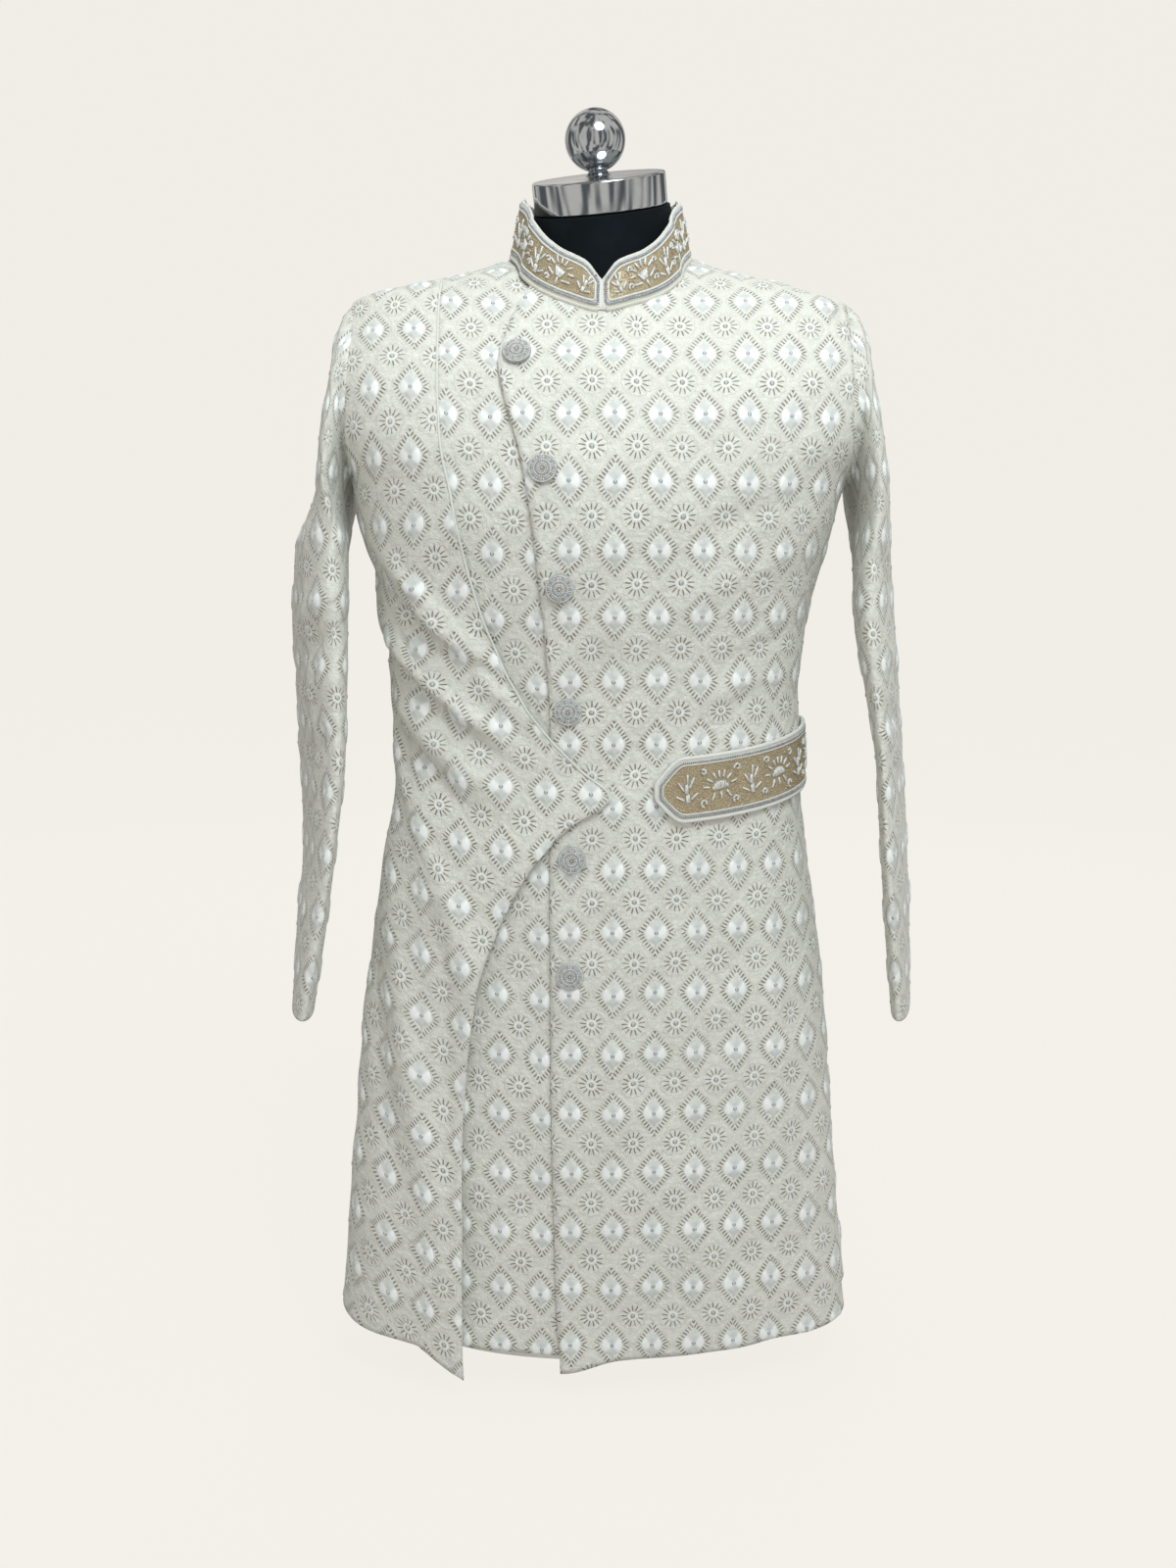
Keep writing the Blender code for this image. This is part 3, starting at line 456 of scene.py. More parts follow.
def nodeOf(tree, kind, vector=None, **values):
    # a node, what is wired to its vector, and its numbers by name
    node = tree.nodes.new("ShaderNode" + kind)
    if vector is not None:
        wire(tree, vector, node.inputs["Vector"])
    for key, value in values.items():
        node.inputs[key].default_value = value
    return node


def darker(colour, share):
    return tuple(part * share for part in colour)


def mathsFor(tree):
    def maths(operation, *values):
        node = tree.nodes.new("ShaderNodeMath")
        node.operation = operation
        for value, socket in zip(values, node.inputs):
            wire(tree, value, socket)
        return node.outputs[0]
    return maths


def smoothRange(tree, value, fromMin, fromMax, toMin=0.0, toMax=1.0):
    node = tree.nodes.new("ShaderNodeMapRange")
    node.interpolation_type = "SMOOTHSTEP"
    for place, number in enumerate((value, fromMin, fromMax, toMin, toMax)):
        wire(tree, number, node.inputs[place])
    return node.outputs["Result"]


def mixColour(tree, share, first, second):
    node = tree.nodes.new("ShaderNodeMix")
    node.data_type = "RGBA"
    wire(tree, share, node.inputs[0])
    wire(tree, first, node.inputs[6])
    wire(tree, second, node.inputs[7])
    return node.outputs[2]


def noiseOf(tree, vector, scale, detail=2.0, roughness=0.5, distortion=0.0):
    node = nodeOf(tree, "TexNoise", vector, Scale=scale, Detail=detail, Roughness=roughness,
                  Distortion=distortion)
    return node.outputs["Fac"]


def waveOf(tree, vector, scale, distortion, direction="X", detail=2.0):
    node = nodeOf(tree, "TexWave", vector, Scale=scale, Distortion=distortion, Detail=detail)
    node.bands_direction = direction
    return node.outputs["Fac"]


def newGroup(name, outputs, **inputs):
    # a node group that takes a place and numbers, and gives numbers
    tree = bpy.data.node_groups.new(name, "ShaderNodeTree")
    tree.interface.new_socket(name="Place", in_out="INPUT", socket_type="NodeSocketVector")
    for key, value in inputs.items():
        socket = tree.interface.new_socket(name=key, in_out="INPUT", socket_type="NodeSocketFloat")
        socket.default_value = value
    for key in outputs:
        tree.interface.new_socket(name=key, in_out="OUTPUT", socket_type="NodeSocketFloat")
    return tree, tree.nodes.new("NodeGroupInput").outputs, tree.nodes.new("NodeGroupOutput").inputs


def placeGroup(tree, group, **values):
    node = tree.nodes.new("ShaderNodeGroup")
    node.node_tree = group
    for key, value in values.items():
        wire(tree, value, node.inputs[key])
    return node.outputs


def newMaterial(name, colour, roughness, metallic=0.0, shaderValues=()):
    item = bpy.data.materials.new(name)
    item.use_nodes = True
    tree = item.node_tree
    shader = tree.nodes["Principled BSDF"]
    shader.inputs["Base Color"].default_value = (*colour, 1.0)
    shader.inputs["Roughness"].default_value = roughness
    shader.inputs["Metallic"].default_value = metallic
    for key, value in shaderValues:
        shader.inputs[key].default_value = value
    item.diffuse_color = (*colour, 1.0)
    return item, tree, shader.inputs


def vectorTimes(tree, vector, scale):
    node = nodeOf(tree, "VectorMath")
    node.operation = "SCALE"
    wire(tree, vector, node.inputs[0])
    wire(tree, scale, node.inputs["Scale"])
    return node.outputs[0]


def bumpOf(tree, shader, height, distance, strength=1.0):
    node = nodeOf(tree, "Bump", Strength=strength, Distance=distance)
    wire(tree, height, node.inputs["Height"])
    tree.links.new(node.outputs["Normal"], shader["Normal"])


def clothPlace(tree):
    node = tree.nodes.new("ShaderNodeUVMap")
    node.uv_map = "clothMetres"
    return node.outputs["UV"]


def objectPlace(tree):
    return tree.nodes.new("ShaderNodeTexCoord").outputs["Object"]


# The repeat of the embroidery, in millimetres.
motif = {
    "width": 38.5, "height": 57.5, "ringHalfWidth": 18.2, "ringHalfHeight": 22.4,
    "tickInner": 0.75, "tickOuter": 1.03, "ticksPerSide": 8.5, "tickWidth": 1.3, "squareness": 0.72,
    "cornerRound": 0.13, "ragged": 0.17,
    "satinRadius": 9.4, "satinHalfWidth": 5.6, "satinHalfHeight": 13.4, "sequinRadius": 2.2,
    "burstInner": 5.4, "burstOuter": 10.9, "burstRays": 13.0, "rayWidth": 1.15, "burstEdge": 13.0,
}


def makeEmbroidery():
    # two motifs on a lattice: an eyed diamond with a ring of ticks, and a small starburst
    tree, given, result = newGroup(
        "embroideryLattice", ("Ticks", "Satin", "Sequin", "Cord", "Sheen", "Halo", "Height"))
    maths = mathsFor(tree)
    split = nodeOf(tree, "SeparateXYZ", vectorTimes(tree, given["Place"], 1000.0))
    across, upward = split.outputs[0], split.outputs[1]

    def cell(value, size, shift):
        part = maths("ADD", maths("DIVIDE", value, size), 0.5 + shift)
        return maths("MULTIPLY", maths("SUBTRACT", maths("FRACT", part), 0.5), size)

    def apart(value, middle):
        return maths("ABSOLUTE", maths("SUBTRACT", value, middle))

    def rounding(first, second):
        return maths("SQRT", maths("ADD", maths("MULTIPLY", first, first), maths("MULTIPLY", second, second)))

    def falling(value, start, end):
        return smoothRange(tree, value, start, end, 1.0, 0.0)

    dx, dy = cell(across, motif["width"], 0.0), cell(upward, motif["height"], 0.0)
    ex, ey = cell(across, motif["width"], 0.5), cell(upward, motif["height"], 0.5)
    absX, absY = maths("ABSOLUTE", dx), maths("ABSOLUTE", dy)
    shareX = maths("DIVIDE", absX, motif["ringHalfWidth"])
    shareY = maths("DIVIDE", absY, motif["ringHalfHeight"])
    diamond = maths("ADD", shareX, shareY)
    along = maths("DIVIDE", maths("SUBTRACT", shareX, shareY), maths("MAXIMUM", diamond, 0.05))
    sideLength = math.hypot(motif["ringHalfWidth"], motif["ringHalfHeight"])
    spacing = sideLength / motif["ticksPerSide"]
    square = maths("SUBTRACT", maths("MULTIPLY", absX, motif["ringHalfWidth"] / sideLength),
                   maths("MULTIPLY", absY, motif["ringHalfHeight"] / sideLength))
    place = maths("ADD", maths("MULTIPLY", square, motif["squareness"]),
                  maths("MULTIPLY", along, sideLength / 2 * (1 - motif["squareness"])))
    beat = maths("MULTIPLY", apart(maths("FRACT", maths("DIVIDE", place, spacing)), 0.5), spacing)
    half = motif["tickWidth"] / 2
    # the ring is rounder at its left and right corners, and its stitches end unevenly
    rounded = maths("SQRT", maths("ADD", maths("MULTIPLY", shareY, shareY), motif["cornerRound"] ** 2))
    outline = maths("ADD", shareX, rounded)
    uneven = noiseOf(tree, given["Place"], 430.0, 1.0)
    uneven = maths("MULTIPLY", maths("SUBTRACT", uneven, 0.5), motif["ragged"])
    torn = maths("ADD", outline, uneven)
    ring = maths("MULTIPLY", smoothRange(tree, torn, motif["tickInner"] - 0.03, motif["tickInner"] + 0.03),
                 falling(torn, motif["tickOuter"] - 0.03, motif["tickOuter"] + 0.05))
    tick = maths("MULTIPLY", ring, falling(beat, half * 0.75, half * 1.3))

    radius = rounding(dx, dy)
    pointed = maths("ADD", maths("DIVIDE", absX, motif["satinHalfWidth"]),
                    maths("DIVIDE", absY, motif["satinHalfHeight"]))
    satinReach = maths("MINIMUM", maths("DIVIDE", radius, motif["satinRadius"]), pointed)
    satin = falling(satinReach, 0.93, 1.05)
    # painted sheen: the satin is painted as a highlight on the left and right of each eye and as shade above
    # and below
    sheen = maths("MULTIPLY", satin, smoothRange(tree, maths("SUBTRACT", absX, absY), -3.0, 2.5))

    burst = rounding(ex, ey)
    turn = maths("MULTIPLY", maths("ARCTAN2", ex, ey), motif["burstRays"] / (2 * math.pi))
    ray = apart(maths("FRACT", maths("ADD", turn, 0.5)), 0.5)
    ray = maths("MULTIPLY", maths("MULTIPLY", ray, burst), 2 * math.pi / motif["burstRays"])
    tornBurst = maths("ADD", burst, maths("MULTIPLY", uneven, 14.0))
    half = motif["rayWidth"] / 2
    reach = maths("MULTIPLY",
                  smoothRange(tree, tornBurst, motif["burstInner"] - 0.4, motif["burstInner"] + 0.4),
                  falling(tornBurst, motif["burstOuter"] - 0.6, motif["burstOuter"] + 0.5))
    rays = maths("MULTIPLY", falling(ray, half * 0.7, half * 1.3), reach)
    scallop = maths("MULTIPLY", maths("COSINE", maths("MULTIPLY", turn, 2 * math.pi)), 0.7)
    edge = apart(maths("ADD", burst, scallop), motif["burstEdge"])
    halo = falling(apart(burst, 3.6), 0.5, 1.1)
    inside = falling(outline, motif["tickInner"] - 0.06, motif["tickInner"] + 0.02)
    cord = maths("MAXIMUM", falling(edge, 0.2, 0.7), falling(apart(outline, 1.11), 0.01, 0.034))

    dots = maths("MINIMUM", radius, burst)
    sequin = maths("SUBTRACT", falling(dots, motif["sequinRadius"] - 0.25, motif["sequinRadius"] + 0.25),
                   falling(dots, 0.5, 0.9))
    stitches = maths("MAXIMUM", tick, rays)
    pad = maths("ADD", maths("MULTIPLY", falling(satinReach, 0.2, 1.05), 1.6),
                maths("MULTIPLY", falling(diamond, 0.5, 1.15), 0.9))
    height = maths("ADD", maths("ADD", maths("MULTIPLY", stitches, -0.7), pad),
                   maths("ADD", maths("MULTIPLY", cord, 0.35), maths("MULTIPLY", halo, 0.4)))
    for key, value in (("Ticks", stitches), ("Satin", satin), ("Sequin", sequin), ("Cord", cord),
                       ("Sheen", sheen), ("Height", height),
                       ("Halo", maths("MAXIMUM", halo, maths("MULTIPLY", inside, 0.25)))):
        wire(tree, value, result[key])
    return tree


def makeWeave():
    # fine slubbed ground with a wandering all-over stitch line
    tree, given, result = newGroup("quiltedGround", ("Mottle", "Stitch", "Lump", "Cloud"))
    maths = mathsFor(tree)
    worm = noiseOf(tree, given["Place"], 300.0, 2.0, 0.6, 0.4)
    line = maths("ABSOLUTE", maths("SUBTRACT", worm, 0.5))
    wire(tree, smoothRange(tree, line, 0.0, 0.1, 1.0, 0.0), result["Stitch"])
    for key, scale, roughness in (("Mottle", 900.0, 0.6), ("Lump", 150.0, 0.5), ("Cloud", 9.0, 0.5)):
        wire(tree, noiseOf(tree, given["Place"], scale, 2.0, roughness), result[key])
    return tree


embroidery, weave = makeEmbroidery(), makeWeave()

clothLook = {
    "ground": tone(228, 230, 221), "groundDeep": tone(196, 195, 185), "tick": tone(122, 110, 95),
    # satin and satinShade are a lit and a shaded copy of the satin thread, mixed by the painted sheen
    "satin": tone(243, 246, 243), "satinShade": tone(208, 212, 208), "sequin": tone(150, 153, 151),
    "cord": tone(197, 189, 172), "halo": tone(238, 240, 233), "plain": tone(218, 216, 202), "roughness": 0.62,
}


def makeBrocade(name):
    item, tree, shader = newMaterial(name, clothLook["ground"], clothLook["roughness"],
                                     shaderValues=(("Sheen Weight", 0.25), ("Sheen Roughness", 0.45)))
    maths = mathsFor(tree)
    place = clothPlace(tree)
    lattice = placeGroup(tree, embroidery, Place=place)
    ground = placeGroup(tree, weave, Place=place)
    deep = maths("MULTIPLY", ground["Stitch"], 0.28)
    colour = mixColour(tree, deep, clothLook["ground"], clothLook["groundDeep"])
    mottle = smoothRange(tree, ground["Mottle"], 0.35, 0.7)
    colour = mixColour(tree, maths("MULTIPLY", mottle, 0.52), colour, clothLook["groundDeep"])
    patch = smoothRange(tree, ground["Lump"], 0.42, 0.66, 0.0, 0.26)
    colour = mixColour(tree, patch, colour, clothLook["groundDeep"])
    colour = mixColour(tree, maths("MULTIPLY", lattice["Cord"], 0.5), colour, clothLook["cord"])
    colour = mixColour(tree, maths("MULTIPLY", lattice["Halo"], 0.7), colour, clothLook["halo"])
    # painted sheen and shade on the satin eyes, in their colour
    satin = mixColour(tree, lattice["Sheen"], clothLook["satinShade"], clothLook["satin"])
    colour = mixColour(tree, lattice["Satin"], colour, satin)
    fading = maths("ADD", maths("MULTIPLY", ground["Lump"], 0.8), maths("MULTIPLY", ground["Cloud"], 0.5))
    strength = maths("MULTIPLY", lattice["Ticks"], smoothRange(tree, fading, 0.42, 0.8, 0.58, 1.0))
    colour = mixColour(tree, strength, colour, clothLook["tick"])
    colour = mixColour(tree, lattice["Sequin"], colour, clothLook["sequin"])
    cloud = smoothRange(tree, ground["Cloud"], 0.25, 0.75, 0.965, 1.02)
    wire(tree, vectorTimes(tree, colour, cloud), shader["Base Color"])
    soft = maths("SUBTRACT", clothLook["roughness"], maths("MULTIPLY", lattice["Satin"], 0.22))
    wire(tree, maths("SUBTRACT", soft, maths("MULTIPLY", lattice["Sequin"], 0.2)), shader["Roughness"])
    relief = maths("ADD", lattice["Height"],
                   maths("ADD", maths("MULTIPLY", ground["Stitch"], -0.28),
                         maths("ADD", maths("MULTIPLY", ground["Mottle"], 0.5),
                               maths("MULTIPLY", ground["Lump"], 4.2))))
    bumpOf(tree, shader, relief, 0.0007, 0.65)
    return item


def makePlain(name, colour):
    # the cloth's own wrong side and cut edges
    item, tree, shader = newMaterial(name, colour, 0.75, shaderValues=(("Sheen Weight", 0.15),))
    maths = mathsFor(tree)
    ground = placeGroup(tree, weave, Place=clothPlace(tree))
    mottle = smoothRange(tree, ground["Mottle"], 0.3, 0.7, 0.0, 0.5)
    deep = maths("ADD", mottle, maths("MULTIPLY", ground["Stitch"], 0.2))
    wire(tree, mixColour(tree, deep, colour, darker(colour, 0.8)), shader["Base Color"])
    bumpOf(tree, shader, ground["Mottle"], 0.0003, 0.6)
    return item


brocade = makeBrocade("ivoryBrocade")
wrongSide = makePlain("brocadeWrongSide", clothLook["plain"])
cutEdge = makePlain("brocadeEdge", tone(233, 230, 216))
clothSet = (brocade, wrongSide, cutEdge)
print("cloth materials made")


def ripple(point):
    # the quilted cloth never lies quite flat
    x, y, z = point
    waves = math.sin(x * 71 + y * 40 + z * 33) + math.sin(z * 83 - x * 38 + y * 25 + 1.3)
    return 0.0005 * (waves + 0.7 * math.sin(x * 122 - z * 104 + 2.1)) * fade(1.03 - z, 0.0, 0.12)


def panelPoints(columns, leftEdge, rightEdge, stand, hem=None, rowsAt=None):
    # rows of (x, y, z, angle, height) between two edges
    rowsAt = rowsAt or [(level, level) for level in marchRows(coatShape["rows"])]
    points = np.zeros((len(rowsAt), columns + 1, 5))
    for row, (startLevel, endLevel) in enumerate(rowsAt):
        start, end = leftEdge(startLevel), rightEdge(endLevel)
        for column in range(columns + 1):
            share = column / columns
            level = startLevel + (endLevel - startLevel) * share
            angle = start + (end - start) * share
            neck = fade(level, coatShape["neckFade"], neckSide)
            if neck > 0:
                first, last = bearingOf(start), bearingOf(end)
                angle += (neckAngle(first + (last - first) * share) - angle) * neck
            height = levelHeight(level, angle)
            if hem and level < coatShape["dipEnd"]:
                height += hem(angle) * (1 - fade(level, coatShape["lowest"], coatShape["dipEnd"]))
            point, normal = coatPoint(angle, height), coatNormal(angle, height)
            outside = point + normal * (stand(point, share, level) + ripple(point) + cloth)
            points[row, column] = (*outside, angle, height)
    return points


surfaces = {}


def makePanel(name, node, points, flat, around=False):
    flat = wander(flat)
    piece = gridObject(name, clothSet, points[:, :-1] if around else points, flat, around)
    surfaces[name] = Surface(points[:, :, :3], flat)
    thicken(piece, cloth)
    dress(piece, (), (node,))


# x, z to x, z, height, half width, bow: soft creases that both fronts share
frontCreases = (
    (0.175, 0.845, 0.075, 0.8, -0.003, 0.016, 0.004), (0.18, 0.8, 0.06, 0.745, 0.0024, 0.018, 0.005),
    (0.178, 0.735, 0.095, 0.69, -0.0026, 0.013, -0.003), (0.17, 0.69, 0.06, 0.655, 0.002, 0.014, 0.003),
    (0.02, 0.545, 0.012, 0.12, 0.0022, 0.024, 0.002), (0.098, 0.54, 0.118, 0.15, -0.0036, 0.02, 0.004),
    (0.15, 0.52, 0.176, 0.09, 0.0034, 0.022, -0.003), (-0.066, 0.48, -0.078, 0.11, -0.0016, 0.012, 0.001),
    (-0.02, 0.72, 0.03, 0.69, -0.001, 0.016, 0.0),
)
backCreases = (
    (0.17, 0.845, 0.05, 0.79, -0.003, 0.017, 0.004), (0.165, 0.78, 0.035, 0.745, 0.0026, 0.018, -0.004),
    (0.16, 0.7, 0.03, 0.668, -0.0032, 0.013, 0.003), (0.15, 0.665, 0.06, 0.65, 0.002, 0.011, 0.002),
    (0.12, 0.96, 0.09, 0.82, 0.0022, 0.022, 0.004), (0.04, 0.54, 0.05, 0.13, -0.0034, 0.018, 0.003),
    (0.1, 0.545, 0.13, 0.1, 0.0042, 0.022, -0.004), (0.16, 0.53, 0.188, 0.14, -0.003, 0.016, 0.003),
    (-0.15, 0.838, -0.04, 0.775, -0.0026, 0.015, -0.004), (-0.168, 0.76, -0.06, 0.722, 0.003, 0.017, 0.004),
    (-0.15, 0.69, -0.02, 0.66, -0.0028, 0.012, -0.002), (-0.11, 0.95, -0.085, 0.835, 0.0018, 0.018, -0.003),
    (-0.055, 0.53, -0.068, 0.2, -0.003, 0.017, 0.004), (-0.118, 0.54, -0.14, 0.08, 0.0044, 0.021, 0.004),
    (-0.172, 0.5, -0.196, 0.19, -0.0026, 0.014, -0.003),
)
overlayFolds = (
    # the ridge that runs down to the point, and the long hollow under it
    (-0.204, 0.822, -0.052, 0.64, 0.01, 0.016, 0.006), (-0.21, 0.796, -0.074, 0.672, -0.0095, 0.013, 0.009),
    (-0.2, 0.752, -0.064, 0.612, 0.009, 0.015, 0.008), (-0.196, 0.724, -0.08, 0.612, -0.0085, 0.011, 0.007),
    (-0.19, 0.68, -0.07, 0.566, 0.0062, 0.017, 0.008), (-0.186, 0.65, -0.104, 0.552, -0.0056, 0.01, 0.004),
    (-0.182, 0.612, -0.12, 0.52, 0.004, 0.013, 0.005), (-0.13, 0.742, -0.092, 0.69, 0.003, 0.01, -0.004),
    # sharp creases across it
    (-0.196, 0.8, -0.112, 0.716, -0.005, 0.0065, 0.003),
    (-0.12, 0.712, -0.066, 0.662, -0.0036, 0.006, -0.003),
    (-0.194, 0.766, -0.114, 0.644, -0.0044, 0.007, 0.002),
    (-0.146, 0.698, -0.094, 0.648, -0.004, 0.006, 0.003),
    (-0.184, 0.722, -0.16, 0.56, -0.004, 0.0065, 0.003),
    (-0.17, 0.65, -0.122, 0.566, -0.0034, 0.007, 0.004),
    (-0.176, 0.6, -0.14, 0.5, 0.0032, 0.009, 0.003),
    (-0.165, 0.56, -0.1, 0.34, 0.006, 0.022, -0.006), (-0.186, 0.52, -0.15, 0.12, 0.007, 0.02, 0.004),
    (-0.14, 0.47, -0.134, 0.15, -0.003, 0.014, 0.002), (-0.204, 0.47, -0.186, 0.16, -0.0034, 0.012, 0.003),
    (-0.176, 0.98, -0.168, 0.88, -0.0012, 0.016, 0.002),
)

# The placket's edge: height and how far from the middle.
placket = {
    "edge": ((0.03, -0.038), (0.11, -0.042), (0.32, -0.0458), (0.52, -0.0458), (0.64, -0.0447),
             (0.71, -0.048), (0.775, -0.0545), (0.835, -0.0618), (0.88, -0.07), (0.925, -0.083),
             (0.955, -0.0885), (0.99, -0.08), (1.03, -0.062)),
    # a motif's place round and up on the over and on the under front, and the slope of its rows there
    "overMotif": (0.0105, 0.0), "underMotif": (-0.056, -0.0065, 6.0),
    "underlap": 0.05, "lift": 0.0032, "fall": (0.012, 0.052), "cornerDip": (0.014, 0.06), "underRise": 0.002,
}
placketAt = smoothTable(placket["edge"])


def overLift(point):
    # the over panel lies on the under front, and comes down to the body past it
    return placket["lift"] * (1 - fade(point.x, *placket["fall"]))


def frontStand(point):
    return foldHeight(point.x, point.z, frontCreases)


def shifted(flat, middle, rowPlace, slope=0.0):
    # a motif's middle comes at this length round and up, and its rows fall by a slope
    moved = flat - np.array([middle, rowPlace])
    moved[..., 1] += moved[..., 0] * math.tan(math.radians(slope))
    return moved


def makeFronts():
    cornerX = coatPoint(edgeAngle(placketAt, coatShape["lowest"], 0.0), 0.05).x
    depth, reach = placket["cornerDip"]
    points = panelPoints(
        56, lambda level: edgeAngle(placketAt, level, 0.0),
        lambda level: armholeAngle(level, 1) - seamStep(side, level),
        lambda point, share, level: overLift(point) + frontStand(point) + 0.0007 * hump(share, 0.03),
        lambda angle: -depth * (1 - fade(coatPoint(angle, 0.05).x - cornerX, 0.0, reach)))
    flat = shifted(flatOf(points[:, :, 3], points[:, :, 4]), *placket["overMotif"])
    makePanel("frontLeftOver", "front_left_over", points, flat)
    points = panelPoints(
        46, lambda level: -(armholeAngle(level, 1) - seamStep(side, level)),
        lambda level: edgeAngle(placketAt, level, placket["underlap"]),
        lambda point, share, level: frontStand(point), lambda angle: placket["underRise"])
    flat = shifted(flatOf(points[:, :, 3], points[:, :, 4]), *placket["underMotif"])
    makePanel("frontRightUnder", "front_right_under", points, flat)


def makeBacks():
    for name, node, turn in (("backLeft", "back_left", 1), ("backRight", "back_right", -1)):
        def outerEdge(level, turn=turn):
            return turn * (armholeAngle(level, -1) + seamStep(side, level))

        def middleEdge(level, turn=turn):
            return turn * (back - seamStep(back, level))
        edges = (outerEdge, middleEdge) if turn > 0 else (middleEdge, outerEdge)
        points = panelPoints(
            46, *edges, lambda point, share, level: foldHeight(point.x, point.z, backCreases))
        flat = flatOf(points[:, :, 3], points[:, :, 4])
        flat[:, :, 0] -= flatOf(np.full(len(points), turn * back), points[:, 0, 4])[:, 0][:, None]
        makePanel(name, node, points, shifted(flat, turn * motif["width"] / -2000, 0.0))


# The draped layer: height at the side seam, its free edge, how far the edge stands off,
# how far the rest does, and the levels of the two ends of its top rows.
overlay = {
    "edge": (
        (0.06, -0.1255, 0.013, 0.011), (0.14, -0.1262, 0.012, 0.011), (0.23, -0.126, 0.0105, 0.0105),
        (0.32, -0.121, 0.009, 0.01), (0.4, -0.109, 0.008, 0.0095), (0.46, -0.09, 0.007, 0.009),
        (0.51, -0.064, 0.0065, 0.0085), (0.553, -0.028, 0.006, 0.008), (0.579, 0.008, 0.0055, 0.008),
        (0.6055, -0.019, 0.005, 0.0085), (0.655, -0.061, 0.004, 0.01), (0.712, -0.091, 0.0025, 0.0105),
        (0.78, -0.114, 0.0012, 0.008), (0.84, -0.127, 0.0006, 0.0045), (0.9, -0.138, 0.0004, 0.0025),
        (0.965, -0.141, 0.0004, 0.0012), (1.03, -0.142, 0.0004, 0.0006)),
    "head": ((0.9875, 0.9875), (0.994, 0.99), (1.008, 1.002), (1.02, 1.01), (1.03, 1.0145),
             (1.037, 1.017), (1.0405, 1.018)),
    "gap": 0.001, "cornerDip": (0.024, 0.045), "headSteps": 5, "headStart": 0.986,
    # where a motif comes, round and up, and the heights over which the rows' slope fades out
    "motif": (-0.125, 0.592 - coatShape["flatRow"]), "slopeFrom": 0.1124, "slopeFade": (0.64, 0.83),
    # offset and slope of the motif rows, in degrees
    "rowSlope": ((-0.3, 17.0), (-0.17, 15.0), (-0.112, 10.0), (-0.06, 5.0), (0.02, 3.0)),
}
overlayAt, rowSlopeAt = smoothTable(overlay["edge"]), smoothTable(overlay["rowSlope"])


def overlayStand(point, share, level):
    edgeLift, loose = overlayAt(level)[1:]
    held = 1 - fade(share, 0.74, 1.0)
    stand = edgeLift + (loose - edgeLift) * fade(share, 0.0, 0.35)
    stand = max(stand + foldHeight(point.x, point.z, overlayFolds), 0.0004)
    return cloth + overlay["gap"] + stand * held + frontStand(point)


def makeOverlay():
    heads = overlay["head"]
    rowsAt = [(level, level) for level in marchRows(coatShape["rows"]) if level < overlay["headStart"]]
    for (edgeLow, seamLow), (edgeHigh, seamHigh) in zip(heads, heads[1:]):
        for step in range(overlay["headSteps"]):
            part = step / overlay["headSteps"]
            rowsAt.append((edgeLow + (edgeHigh - edgeLow) * part, seamLow + (seamHigh - seamLow) * part))
    rowsAt.append(heads[-1])
    cornerX = coatPoint(angleAt(overlayAt(coatShape["lowest"])[0], coatShape["lowest"]), 0.05).x
    depth, reach = overlay["cornerDip"]
    points = panelPoints(
        52, lambda level: angleAt(overlayAt(level)[0], level),
        lambda level: -(armholeAngle(level, 1) - seamStep(side, level)), overlayStand,
        lambda angle: -depth * max(0.0, 1 - (cornerX - coatPoint(angle, 0.05).x) / reach), rowsAt)
    points = points[:, ::-1]
    flat = shifted(flatOf(points[:, :, 3], points[:, :, 4]), *overlay["motif"])
    table = np.linspace(-0.3, 0.05, 200)
    slopes = np.array([math.tan(math.radians(rowSlopeAt(place)[0])) for place in table])
    risen = np.concatenate([[0.0], np.cumsum(slopes[1:] * np.diff(table))])
    lower = np.array([[1 - fade(height, *overlay["slopeFade"]) for height in line]
                      for line in points[:, :, 2]])
    start = overlay["slopeFrom"]
    shift = np.interp(flat[:, :, 0] - start, table, risen) - np.interp(-start, table, risen)
    flat[:, :, 1] += shift * lower
    makePanel("overlayRight", "overlay_right", points, flat)
    return points


makeFronts()
makeBacks()
overlayPoints = makeOverlay()
print("body panels made")


